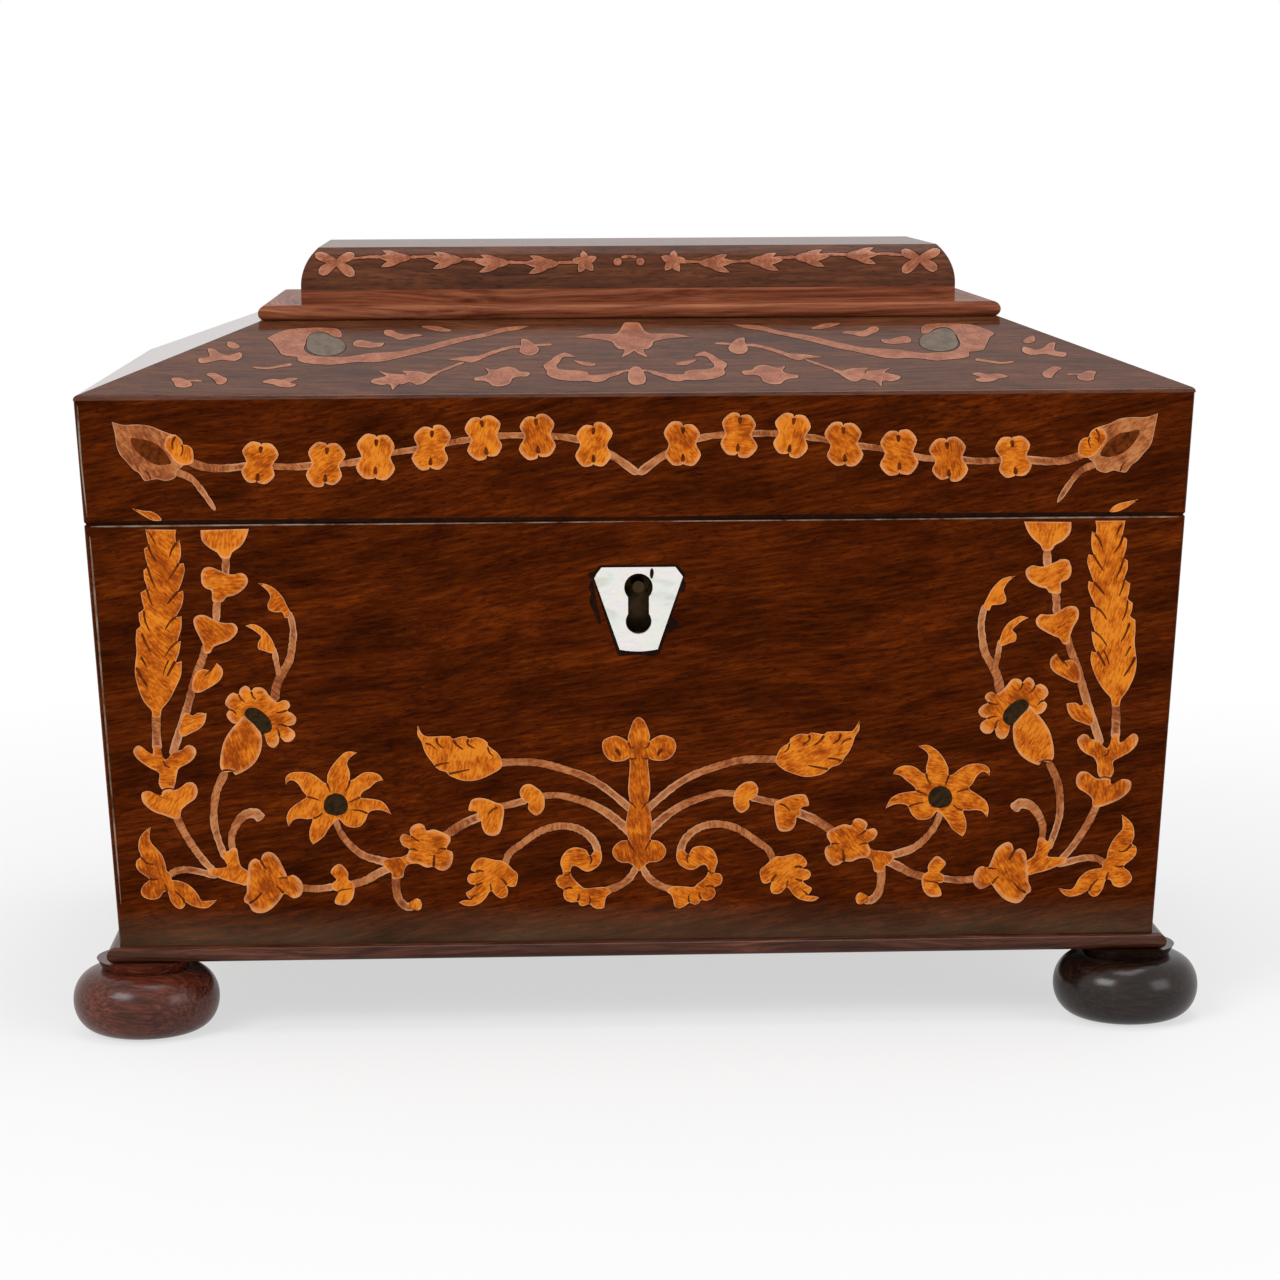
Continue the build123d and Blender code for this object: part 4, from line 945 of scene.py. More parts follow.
for points, width in (
    ([(96.5, -86.8), (95.9, -88.0), (95.0, -89.4)], 0.9),
    ([(99.7, -98.2), (98.0, -97.2), (96.4, -95.4)], 0.8),
    ([(90.8, -95.7), (91.8, -94.4), (92.6, -93.8)], 0.6),
    ([(89.8, -91.5), (91.0, -91.6), (92.0, -91.8)], 0.5),
):
    front.line(points, width, 4)

# The small flowers and pairs of leaves along the lower stem
front.plate([
    (78.8, -90.2), (77.9, -88.8), (76.4, -88.2), (75.0, -89.2), (74.2, -90.8), (74.3, -92.3), (73.2, -93.0),
    (72.7, -94.8), (73.2, -97.2), (74.6, -98.8), (76.2, -99.0), (77.8, -98.5), (77.6, -97.0), (76.8, -95.4),
    (78.2, -95.0), (78.3, -93.3), (77.3, -92.4), (78.0, -91.4),
], (75.8, -93.6))
front.line([(77.0, -95.3), (75.6, -94.9), (73.4, -94.7)], 0.5)
front.plate([
    (65.4, -87.3), (62.4, -86.6), (60.4, -86.4), (58.6, -85.6), (56.6, -86.2), (57.0, -88.2), (59.0, -88.5),
    (60.0, -90.0), (60.5, -92.0), (62.9, -92.2), (63.1, -90.8), (64.6, -89.8), (65.4, -88.6),
], (61.8, -88.2))
front.petal(lobe, 58.8, -99.3, -84, 3.2, 3.2, level=1)
front.plate([
    (61.1, -82.0), (60.6, -80.7), (59.6, -80.5), (58.2, -81.0), (58.5, -79.5), (57.6, -78.3), (56.0, -77.8),
    (54.8, -78.4), (54.3, -79.6), (52.4, -79.4), (50.2, -80.1), (48.4, -81.2), (48.1, -82.6), (49.2, -84.6),
    (47.8, -85.3), (47.6, -87.0), (48.3, -89.0), (49.8, -90.2), (51.4, -90.0), (52.5, -89.2), (54.4, -89.3),
    (56.4, -88.4), (58.4, -88.2), (59.4, -86.6), (58.7, -84.4), (60.2, -83.6),
], (54.0, -84.2), level=2)
for points, width in (
    ([(52.5, -89.2), (52.4, -87.6), (52.3, -86.0)], 0.9),
    ([(58.2, -81.0), (57.2, -81.8), (56.0, -82.6)], 0.6),
    ([(49.2, -84.6), (50.4, -84.4), (51.4, -84.6)], 0.6),
    ([(58.7, -84.5), (57.4, -84.5), (56.4, -85.0)], 0.5),
):
    front.line(points, width, 4)
front.plate([
    (43.4, -74.4), (43.1, -72.6), (42.3, -71.5), (40.6, -71.3), (38.4, -71.7), (36.4, -72.5), (34.9, -73.2),
    (34.5, -74.8), (34.7, -77.0), (35.0, -79.2), (36.0, -80.8), (37.6, -81.2), (39.2, -80.6), (40.0, -79.0),
    (40.4, -77.4), (41.4, -76.8), (41.2, -75.2), (42.2, -74.6),
], (38.4, -75.2))
front.line([(36.0, -73.8), (37.4, -74.4), (38.6, -75.8)], 0.6)
front.plate([
    (30.3, -69.2), (29.2, -68.0), (27.6, -67.8), (26.2, -68.6), (25.0, -69.7), (24.2, -71.4), (24.1, -73.6),
    (24.8, -75.2), (26.2, -76.0), (27.4, -75.4), (28.3, -74.2), (28.2, -72.8), (29.6, -71.9), (30.4, -70.6),
], (27.0, -71.6))
front.plate([
    (56.1, -52.3, 1), (56.1, -54.6), (55.1, -56.4), (54.5, -58.6), (53.6, -60.4), (52.3, -62.0),
    (51.9, -63.0, 1), (50.8, -63.8), (49.2, -64.4), (48.3, -65.2, 1), (47.0, -66.0), (45.0, -66.6),
    (42.4, -66.8), (39.8, -66.2), (37.2, -65.0), (35.3, -63.7), (34.7, -62.4), (35.3, -60.6), (36.4, -59.0),
    (38.2, -57.9), (38.4, -56.8, 1), (39.6, -55.9), (41.2, -55.4), (43.1, -55.6), (43.8, -55.2, 1),
    (45.2, -55.3), (47.1, -55.8), (47.9, -55.1, 1), (49.8, -55.1), (52.4, -55.1), (54.2, -54.9),
    (55.2, -54.0),
])
for points, width in (
    ([(47.2, -56.0), (46.2, -57.4), (44.6, -58.6)], 0.8),
    ([(43.3, -55.8), (43.4, -57.2), (41.6, -58.4)], 0.7),
    ([(38.4, -58.0), (38.0, -59.4), (37.0, -60.4)], 0.5),
    ([(51.4, -55.6), (51.0, -57.0), (49.6, -58.2)], 0.7),
    ([(54.2, -56.8), (52.6, -57.4), (51.4, -58.6)], 0.5),
    ([(51.9, -62.8), (50.0, -62.2), (48.2, -62.0)], 0.7),
    ([(48.3, -64.9), (46.0, -64.4), (43.0, -63.8)], 0.7),
):
    front.line(points, width)

# The scroll's curled leaf and the tuft under it, sawn from one piece
front.plate([
    (13.2, -91.0), (11.4, -90.3), (9.9, -88.8), (9.6, -86.4), (11.2, -85.4), (12.6, -86.9), (13.4, -85.4),
    (14.6, -84.8), (16.6, -84.6), (18.6, -85.4), (19.7, -87.0), (20.1, -88.8), (19.7, -90.4), (19.5, -91.7),
    (20.6, -92.0), (21.3, -93.2), (20.8, -94.8), (19.3, -95.6), (19.6, -97.0), (19.0, -98.4), (17.4, -99.1),
    (15.9, -98.9), (15.3, -99.9), (14.2, -100.2), (12.9, -99.7), (11.6, -100.6), (10.2, -101.0),
    (9.0, -100.5), (8.7, -98.8), (8.2, -97.4), (7.2, -96.6), (8.4, -95.3), (11.0, -95.2), (13.8, -95.4),
    (15.0, -94.6), (16.6, -93.2), (17.5, -91.8), (17.6, -90.4), (16.8, -89.5), (15.6, -89.8), (14.6, -90.6),
], level=2)
for points, width in (
    ([(12.6, -86.8), (12.2, -88.0), (12.6, -89.2)], 0.6),
    ([(19.3, -95.6), (18.0, -95.2), (17.0, -95.4)], 0.6),
    ([(15.9, -98.8), (15.4, -97.6), (15.6, -96.8)], 0.6),
    ([(12.9, -99.6), (12.6, -98.4), (12.9, -97.4)], 0.5),
    ([(17.6, -91.0), (18.4, -91.8), (19.4, -91.8)], 0.5),
):
    front.line(points, width, 4)

# The flower with one long leaf, inside the scroll
front.plate([
    (43.0, -89.4), (42.0, -87.8), (40.4, -86.9), (38.4, -87.3), (36.6, -87.6), (35.2, -87.7), (33.8, -88.6),
    (32.4, -90.0), (31.1, -91.2), (31.1, -93.0), (31.8, -94.6), (33.0, -94.8), (34.0, -94.3), (33.6, -95.8),
    (34.0, -97.2), (35.4, -97.7), (36.8, -97.0), (37.9, -95.8), (39.4, -97.6), (40.8, -98.9), (42.8, -99.6),
    (44.8, -99.6), (46.2, -98.7, 1), (44.8, -98.2), (43.3, -98.2), (44.0, -97.2), (44.3, -96.2),
    (43.0, -95.3), (41.9, -94.2), (43.4, -93.8), (44.0, -92.6), (43.5, -91.4), (41.6, -90.8), (42.8, -90.3),
], level=2)
for points, width in (
    ([(41.8, -90.7), (40.8, -90.4), (39.8, -90.6)], 0.8),
    ([(33.9, -94.3), (34.6, -93.2), (35.4, -92.4)], 0.8),
    ([(41.9, -94.2), (41.0, -94.0), (40.0, -93.6)], 0.7),
    ([(43.3, -98.1), (42.6, -97.2), (41.8, -96.8)], 0.5),
    ([(37.9, -95.7), (38.0, -94.6), (38.2, -93.8)], 0.5),
):
    front.line(points, width, 4)

# The finial on the middle line: bud, two round side lobes, the column and its foot
finial = [
    (0.0, -50.6), (1.3, -51.6), (2.2, -53.6), (2.8, -55.8), (2.7, -57.0), (3.8, -56.2), (5.8, -55.5),
    (7.6, -55.9), (9.0, -56.6), (9.4, -58.4), (8.9, -60.2), (7.6, -61.7), (5.8, -62.2), (3.8, -61.9),
    (2.5, -61.5), (2.3, -63.0), (2.6, -66.0), (2.8, -69.8), (2.4, -72.8), (2.8, -75.0), (3.4, -78.4),
    (3.2, -81.2), (2.9, -82.8), (4.6, -83.0), (6.2, -84.0), (6.9, -85.8), (6.2, -87.6), (4.6, -88.8),
    (2.6, -88.9), (1.0, -90.2), (0.0, -91.0),
]
front.plate(both_halves(finial), level=4, sides=(1,))
for points, width in (
    ([(2.7, -57.2), (2.2, -58.4), (1.2, -58.8)], 0.5),
    ([(5.9, -59.0), (5.2, -59.8), (4.8, -60.8)], 1.1),
    ([(2.6, -61.4), (1.6, -61.6), (0.6, -61.2)], 0.5),
    ([(2.5, -72.8), (1.6, -73.4), (0.8, -74.6)], 0.5),
    ([(3.0, -82.8), (2.2, -84.2), (1.2, -86.0)], 0.6),
):
    front.line(points, width, 6)

# Chips round the escutcheon, a crack over its keyhole, and pale lines on the edges of the case: rubbed wood
# and a painted highlight
for points in (
    [(-11.4, -15.4), (-12.6, -17.0), (-12.0, -18.6), (-12.3, -21.0), (-11.2, -23.6), (-10.2, -26.4),
     (-9.4, -26.0), (-10.6, -21.0)],
    [(-10.8, -13.0), (-12.6, -13.6), (-12.0, -15.0), (-11.0, -14.6)],
    [(7.8, -25.4), (9.4, -25.6), (10.2, -26.8), (8.8, -28.4), (7.0, -29.0)],
    [(11.0, -15.2), (12.0, -16.4), (11.4, -18.6), (10.4, -18.2)],
    [(-4.2, -33.8), (-4.8, -34.8), (0.0, -34.5), (3.8, -34.9), (4.6, -33.9)],
    [(2.9, -12.9), (3.5, -12.3), (3.9, -13.6), (3.5, -14.9), (2.9, -14.6)],
):
    front.plate(points, wood=wood_kerf, sides=(1,))
front.stem([(136.6, -0.5), (100.0, -0.45), (60.0, -0.5), (0.0, -0.45)], 0.42, 0.2, wood_worn_and_highlight, kerf=False)
front.stem([(136.9, -3.0), (134.6, -50.0), (132.2, -98.0)], 0.5, 0.35, wood_worn_and_highlight, kerf=False, sides=(-1,))

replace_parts(front.finish("case_front_marquetry", on_front, "case"), "case_front_inlay")

# The garland on the front of the lid
garland = Sawing()
for points, first, last in (
    ([(112.4, 16.0), (108.4, 14.4), (104.4, 13.9), (99.6, 14.2), (94.9, 14.8)], 2.1, 1.8),
    ([(94.9, 14.6), (86.0, 14.1), (78.5, 14.8)], 1.6, 1.8),
    ([(78.5, 14.8), (72.0, 15.0), (65.8, 16.4)], 1.7, 1.7),
    ([(65.8, 16.6), (59.0, 17.8), (51.9, 18.6)], 1.7, 1.6),
    ([(51.9, 18.8), (45.0, 20.2), (38.6, 21.0)], 1.6, 1.6),
    ([(38.6, 21.2), (32.0, 21.6), (25.5, 21.4)], 1.7, 1.7),
    ([(25.5, 21.4), (18.0, 21.0), (11.4, 19.4)], 1.7, 1.7),
    ([(9.4, 18.0), (4.8, 15.2), (0.0, 11.6)], 1.8, 2.2),
    ([(116.0, 13.4), (111.6, 11.6), (108.8, 8.4), (105.6, 3.4)], 2.0, 1.1),
):
    garland.stem(points, first, last)
garland.plate([
    (130.6, 25.8, 1), (127.6, 24.9), (124.2, 25.0), (121.0, 24.6), (118.6, 23.6), (116.4, 22.7),
    (114.8, 22.2), (113.6, 21.2), (113.0, 19.4), (112.8, 16.8), (113.2, 14.8), (114.8, 13.4), (115.4, 11.6),
    (117.6, 10.9), (119.6, 11.4), (121.4, 11.1), (122.9, 11.0), (124.2, 12.8), (125.7, 13.8), (127.2, 15.8),
    (128.8, 17.6), (129.6, 20.0), (129.9, 22.4),
], None, wood_stem)
garland.plate([
    (117.0, 21.8), (115.6, 22.4), (114.6, 22.2), (113.6, 21.2), (113.4, 20.1), (112.0, 19.8), (110.9, 18.8),
    (110.6, 16.8), (111.0, 15.2), (113.2, 14.8), (115.2, 15.8), (116.4, 17.4), (117.8, 19.6),
], (114.2, 18.4), level=2)
garland.plate([
    (126.0, 21.6), (123.6, 21.4), (121.2, 20.8), (119.2, 19.7), (117.4, 18.0), (116.2, 15.5), (117.6, 15.0),
    (119.6, 15.0), (121.8, 15.9), (123.8, 17.4), (125.4, 19.4),
], (121.0, 18.2), wood_scorch, 2)
garland.plate([(126.2, 4.0, 1), (123.4, 3.5), (121.2, 3.1), (119.8, 2.2), (119.0, 0.9), (121.0, 0.9),
               (123.2, 2.0)])
garland.line([(114.9, 22.0), (115.8, 20.4), (115.6, 18.6)], 0.6)
garland.line([(113.4, 20.0), (113.2, 18.6), (113.8, 17.0)], 0.5)
garland.line([(121.4, 11.2), (121.8, 12.6), (122.8, 13.6)], 0.5)
# Four-lobed flowers on their stem, each leaning its own way, with a scorched line in from two notches
lobe_turns = (-27, 27, 153, 207)
lobe_reach = (5.4, 6.4)
flower_places = (
    (94.4, 15.0), (77.8, 14.6), (65.4, 16.5), (51.6, 18.6), (38.4, 21.1), (25.2, 21.4), (11.2, 19.0)
)
for across, up in flower_places:
    lean = random.uniform(-9, 9)
    tips = [(turn + lean, random.uniform(*lobe_reach)) for turn in lobe_turns]
    garland.plate(lobed(across, up, tips), (across, up), level=2)
    for turn, reach in ((lean, 2.6), (180 + lean, 2.4)):
        x, y = math.sin(math.radians(turn)), math.cos(math.radians(turn))
        garland.line([(across + 4.4 * x, up + 4.4 * y), (across + reach * x, up + reach * y)], 1.3, 4)
# A dark strip along the lid's edge over the seam: painted shade of the joint
garland.stem([(137.6, 0.5), (0.0, 0.5)], 0.9, 0.9, wood_kerf, kerf=False)
# A pale line up the lid's left edge: rubbed wood and a painted highlight
garland.stem([(137.4, 2.0), (138.4, 16.0), (138.9, 30.0)], 0.3, 0.5, wood_worn_and_highlight, kerf=False, sides=(-1,))
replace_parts(garland.finish("lid_front_marquetry", on_front, "lid"), "lid_front_inlay")

# The front slope, up from the eave
slope = Sawing()
for points, first, last in (
    ([(40.0, 21.6), (35.4, 25.8), (31.0, 28.6), (28.0, 28.6)], 2.0, 1.3),
    ([(25.6, 29.4), (23.0, 29.9), (21.0, 30.0)], 1.6, 1.0),
    ([(52.0, 11.4), (47.6, 15.4), (43.4, 19.4)], 1.3, 1.0),
    ([(113.0, 8.8), (110.6, 9.2), (108.8, 8.8)], 1.3, 0.8),
    ([(96.6, 17.2), (93.2, 16.4), (89.6, 17.6), (86.8, 18.8)], 1.0, 1.5),
    ([(5.8, 11.6), (3.6, 12.8), (1.6, 13.6)], 1.4, 1.0),
):
    slope.stem(points, first, last)
slope.plate([
    (93.8, 35.4), (92.4, 33.0), (91.6, 30.4), (90.6, 27.6), (89.6, 24.9), (87.4, 23.8), (85.8, 23.2),
    (85.2, 20.6), (82.6, 19.3), (79.6, 18.6), (76.8, 18.2), (74.0, 19.0), (70.4, 19.9), (66.8, 19.6),
    (63.6, 20.2), (60.0, 22.2), (56.0, 24.4), (52.0, 26.6), (46.6, 30.4), (41.4, 33.6), (36.6, 35.9),
    (33.4, 38.2), (29.6, 39.6), (26.6, 42.0, 1), (31.4, 41.6), (34.8, 40.2), (38.0, 37.6), (42.0, 35.8),
    (46.4, 34.0), (50.4, 31.4), (54.0, 29.2), (58.4, 26.8), (62.6, 25.8), (66.6, 25.4), (70.0, 24.2),
    (74.0, 22.9), (77.6, 23.2), (81.2, 23.8), (83.2, 25.6), (84.2, 28.4), (84.0, 31.6), (83.8, 35.2),
    (82.8, 38.4), (80.8, 39.4), (78.6, 38.2), (76.8, 35.8), (75.0, 35.6), (75.2, 38.6), (76.6, 41.0),
    (80.6, 41.8), (84.6, 41.6), (88.4, 40.9), (91.0, 38.8),
])
slope.plate([
    (83.4, 36.2), (81.8, 38.8), (79.2, 38.2), (77.0, 35.6), (75.0, 34.0), (73.8, 30.6), (74.0, 27.0),
    (76.2, 24.4), (79.4, 24.0), (82.2, 25.8), (83.6, 29.0), (83.6, 33.0),
], (79.0, 31.0), wood_dark)
for points, middle in (
    (
        [
            (71.8, 31.2), (71.0, 33.3), (69.4, 33.6), (67.8, 32.6), (66.0, 31.6), (64.0, 31.8), (64.6, 29.6),
            (67.0, 28.8), (69.6, 29.2), (71.2, 29.8),
        ],
        (68.6, 31.0),
    ),
    (
        [
            (64.2, 38.2), (63.6, 39.9), (62.0, 39.8), (60.6, 38.0), (58.6, 37.0), (56.0, 37.2), (54.2, 36.2),
            (56.8, 35.2), (58.8, 33.8), (60.4, 34.0), (61.8, 35.4), (63.4, 36.6),
        ],
        (60.2, 36.2),
    ),
    ([(54.4, 42.2), (51.0, 42.4), (48.4, 41.0), (46.6, 39.2), (49.4, 38.8), (52.0, 40.2)], (50.4, 40.6)),
    (
        [
            (66.2, 7.0), (63.8, 5.6), (61.8, 6.0), (61.2, 2.4, 1), (59.8, 5.6), (58.2, 6.4), (56.8, 7.4),
            (55.2, 5.6), (53.6, 6.2), (52.2, 8.4), (51.2, 10.6), (49.8, 12.2), (52.2, 12.2), (54.6, 13.6),
            (59.0, 14.0, 1), (57.8, 12.2), (61.4, 12.4), (65.0, 14.0, 1), (62.8, 11.2), (64.4, 10.0),
            (66.4, 8.6),
        ],
        (57.6, 9.6),
    ),
    ([(47.6, 20.8, 1), (44.0, 20.2), (41.6, 19.0), (39.4, 20.6), (38.2, 23.0), (41.2, 22.9),
      (44.0, 22.4)], (41.6, 21.2)),
    (
        [
            (28.8, 33.4), (27.2, 33.2), (25.8, 31.2), (25.2, 29.2), (24.2, 27.4), (24.6, 25.0), (26.2, 23.2),
            (28.0, 23.8), (29.2, 25.6), (29.0, 28.2), (28.8, 31.0),
        ],
        (27.0, 28.0),
    ),
    (
        [
            (34.8, 14.8), (32.6, 16.2), (30.4, 15.2), (29.2, 13.2), (26.8, 12.4), (27.4, 10.2), (29.8, 10.2),
            (31.2, 8.8), (31.8, 6.0), (34.0, 4.4), (36.0, 4.6), (37.0, 6.4), (38.4, 7.8), (40.4, 8.0),
            (40.6, 9.6), (38.0, 10.8), (37.2, 12.6), (38.0, 15.4), (36.2, 14.4),
        ],
        (33.8, 10.6),
    ),
    ([(15.6, 19.8), (12.6, 18.8), (10.2, 17.8), (10.8, 16.4), (13.4, 17.0)], (12.6, 18.0)),
    (
        [
            (108.8, 28.8), (106.8, 28.2), (105.2, 25.8), (103.0, 24.6), (100.4, 26.4), (99.6, 23.6),
            (101.4, 21.2), (104.8, 21.8), (107.4, 20.6), (109.8, 20.0), (110.6, 22.6), (107.8, 23.8),
        ],
        (105.0, 23.4),
    ),
    (
        [
            (116.4, 10.4), (114.6, 11.1), (113.0, 10.0), (111.4, 8.2), (111.2, 6.0), (113.0, 5.0),
            (114.9, 5.8), (115.5, 8.0),
        ],
        (113.4, 8.0),
    ),
    (
        [
            (108.0, 12.8), (106.2, 13.9), (104.4, 12.2), (102.6, 9.8), (103.0, 7.4), (104.6, 6.8),
            (105.6, 9.0), (106.6, 11.0),
        ],
        (104.9, 10.2),
    ),
    (
        [
            (93.8, 8.0), (91.0, 6.6), (89.2, 5.2), (86.4, 4.8), (85.2, 6.4), (86.8, 7.6), (84.8, 9.8),
            (86.8, 10.4), (88.8, 9.2), (91.2, 9.8),
        ],
        (88.6, 7.6),
    ),
    ([(103.8, 33.2), (102.0, 32.4), (100.6, 29.8), (102.0, 28.8), (103.8, 30.4)], (102.4, 31.0)),
):
    slope.plate(points, middle)
slope.plate([
    (18.0, 24.8, 1), (16.4, 23.8), (15.0, 21.8, 1), (17.4, 22.2), (18.6, 21.2), (19.2, 19.0), (20.0, 16.6),
    (19.4, 14.6), (17.0, 13.7), (14.0, 13.4), (12.2, 12.2), (11.8, 10.8), (9.0, 10.8), (5.6, 12.0),
    (3.2, 12.9), (4.4, 10.8), (6.8, 9.2), (8.2, 7.2), (10.6, 6.3), (12.4, 7.3), (15.6, 7.1), (18.8, 7.9),
    (21.2, 9.3), (22.6, 11.4), (22.3, 13.4), (23.0, 15.2), (23.2, 17.0), (22.2, 18.8), (21.2, 20.2),
    (20.0, 22.6),
])
star = [
    (0.0, 43.9), (1.8, 43.6), (2.6, 40.8), (3.4, 38.0), (4.8, 36.4), (7.6, 36.4), (11.2, 36.2),
    (14.8, 34.4, 1), (11.0, 33.8), (7.6, 32.8), (5.4, 31.4), (4.8, 28.8), (3.6, 26.8), (2.4, 26.2),
    (3.4, 21.4, 1), (1.0, 24.0), (0.0, 25.6),
]
slope.plate(both_halves(star), (0.0, 32.6), sides=(1,))
drop = [(0.0, 15.8), (1.4, 14.4), (2.0, 11.4), (2.3, 8.0), (1.6, 5.2), (0.0, 4.5)]
slope.plate(both_halves(drop), (0.0, 9.6), sides=(1,))
# The slope and the pillow take the paler, greyer copies of the woods, a painted sheen
sheen_lit_woods = (sheen_lit_petal_wood, sheen_lit_stem_wood, sheen_lit_dark_wood)
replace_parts(slope.finish("slope_front_marquetry", on_slope, "lid", sheen_lit_woods), "slope_front_inlay")

# The garland on the front of the pillow
crest = Sawing()
for points, first, last in (
    ([(73.6, 8.4), (68.0, 9.0), (64.0, 8.8)], 0.7, 0.9),
    ([(58.0, 8.8), (53.0, 9.0), (50.0, 8.6)], 0.9, 0.9),
    ([(44.0, 8.2), (40.0, 8.0), (36.0, 7.6)], 0.9, 0.9),
    ([(32.0, 7.2), (28.0, 7.0), (24.0, 7.0)], 0.9, 0.9),
    ([(19.0, 7.0), (16.0, 7.0), (12.0, 7.2)], 0.9, 0.9),
    ([(0.6, 8.8), (-2.0, 8.4)], 0.9, 0.9),
):
    crest.stem(points, first, last)
for turn, length in ((64, 6.4), (-60, 5.4), (124, 5.6), (-128, 6.0)):
    crest.petal(lobe, 76.9, 7.4, turn, length, 2.8)
for across, up, length in ((57.2, 8.6, 9.0), (43.6, 8.0, 9.6), (31.4, 7.0, 9.4), (18.4, 6.6, 9.4)):
    crest.petal(leaf, across, up, 88, length, 3.0, level=1)
    crest.petal(leaf, across + 2.2, up + 0.2, 68, 6.0, 1.9, level=1)
    crest.petal(leaf, across + 2.2, up - 0.2, 112, 6.4, 1.9, level=1)
for turn in (8, 80, 150, -140, -66):
    crest.petal(leaf, 11.6, 7.2, turn, 3.4, 2.2, level=1)
crest.petal(egg, 3.0, 6.0, 0, 2.2, 2.2, level=1)
crest.finish("pillow_front_marquetry", on_pillow, "lid", sheen_lit_woods)


def eased(before, corner, after, reach, steps=4):
    """Points round a corner, from reach before it to reach after it."""
    corner = Vector(corner)
    first = corner + (Vector(before) - corner).normalized() * reach
    last = corner + (Vector(after) - corner).normalized() * reach
    shares = [step / steps for step in range(steps + 1)]
    return [tuple(first * (1 - t) ** 2 + corner * 2 * t * (1 - t) + last * t * t) for t in shares]


veneer = 1.0
corner_round = 1.5
bevel = 0.5
# Points of a sheet nearer than this are one, in metres
sheet_merge = 0.000002


def ground_sheet(name, outer, inner, node, body, material, corner=0.0):
    """The veneer of one face as a mitred sheet: its section, outer and inner line of (depth from the
    middle, height), drawn along X to the mitres, with the upright corners rounded where corner says."""
    mesh = bmesh.new()
    section = outer + inner[::-1]
    ridge = eave_half_width - eave_half_depth
    columns = []
    for side, turns in ((-1, (45, 60, 75, 90)), (1, (90, 75, 60, 45))):
        for turn in turns:
            ring = []
            for i, (depth, height) in enumerate(section):
                radius = corner if i < len(outer) else 0.0
                x = depth + ridge - radius * (1 - math.cos(math.radians(turn)))
                y = depth - radius * (1 - math.sin(math.radians(turn)))
                ring.append(mesh.verts.new(mm * Vector((side * x, -y, height))))
            columns.append(ring)
    count = len(section)
    for left, right in zip(columns, columns[1:]):
        for i in range(count):
            mesh.faces.new((left[i], right[i], right[(i + 1) % count], left[(i + 1) % count]))
    mesh.faces.new(columns[0])
    mesh.faces.new(columns[-1][::-1])
    bmesh.ops.remove_doubles(mesh, verts=mesh.verts, dist=sheet_merge)
    bmesh.ops.recalc_face_normals(mesh, faces=mesh.faces)
    sheet = keep(name, mesh, body, [material])
    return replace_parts(sheet, node)


seam_depth = half_depth(seam)
slope_run = slope_rise / slope_inset
plateau_depth = eave_half_depth - slope_inset
plateau = eave + slope_rise
under_eave = eave_half_depth - 0.05
# The wall's veneer ends a veneer's thickness under the slope
wall_top = eave - veneer + (eave_half_depth - under_eave) * slope_run
foot_depth = half_depth(case_floor)
case_sheet = ground_sheet(
    "case_front_ground",
    [(foot_depth, case_floor), (half_depth(seam - bevel), seam - bevel), (seam_depth - bevel, seam)],
    [(foot_depth - veneer, case_floor), (seam_depth - veneer, seam)],
    "case_front_veneer", "case", rosewood_across, corner_round,
)
ground_sheet(
    "lid_front_ground",
    [(seam_depth - bevel, seam), (half_depth(seam + bevel), seam + bevel), (under_eave, wall_top)],
    [(seam_depth - veneer, seam), (under_eave - veneer, wall_top + veneer * slope_run)],
    "lid_front_veneer", "lid", rosewood_across, corner_round,
)
# The eave's edge is eased over this much on both sides
eave_ease = 0.96
eave_corner = eased((seam_depth, seam), (eave_half_depth, eave), (plateau_depth, plateau), eave_ease)
ground_sheet(
    "slope_front_ground",
    [*eave_corner, (plateau_depth, plateau)],
    [(under_eave, wall_top), (plateau_depth, plateau - veneer)],
    "slope_front_veneer", "lid", slope_across,
)

# The escutcheon: its height up from the seam, its half widths, and the saw cut round it, down to its glue
shield_top = -12.0
shield_foot = -33.8
shield_clip = 2.5
shield_top_half = 9.4
shield_half = 11.3
shield_foot_half = 4.9
escutcheon_gap = 0.5
under_shell = -0.15
glue_low = -0.9
glue_high = -0.14
cutter_reach = 3.0


def shield(grown):
    """The escutcheon's outline, across and up from the seam, grown by a gap."""
    top, low = shield_top + grown, shield_foot - grown
    right = [
        (shield_foot_half + grown, low),
        (shield_half + grown, top - shield_clip),
        (shield_top_half + 0.8 * grown, top),
    ]
    return [(-right[0][0], low), *right, *((-x, up) for x, up in right[:0:-1])]


# The escutcheon's window in the front sheet, a saw cut wider than the shell
mesh = bmesh.new()
face = mesh.faces.new([mesh.verts.new(on_front(x, up, -cutter_reach)) for x, up in shield(escutcheon_gap)])
cut = on_front(0, 0, cutter_reach) - on_front(0, 0, -cutter_reach)
bmesh.ops.translate(mesh, verts=raise_faces(mesh, [face]), vec=cut)
bmesh.ops.recalc_face_normals(mesh, faces=mesh.faces)
cutter = object_of("window_cutter", mesh)
window = case_sheet.modifiers.new("window", "BOOLEAN")
window.operation = "DIFFERENCE"
window.solver = "EXACT"
window.object = cutter
cut_sheet = bpy.data.meshes.new_from_object(case_sheet.evaluated_get(bpy.context.evaluated_depsgraph_get()))
case_sheet.modifiers.clear()
case_sheet.data = cut_sheet
bpy.data.objects.remove(cutter)

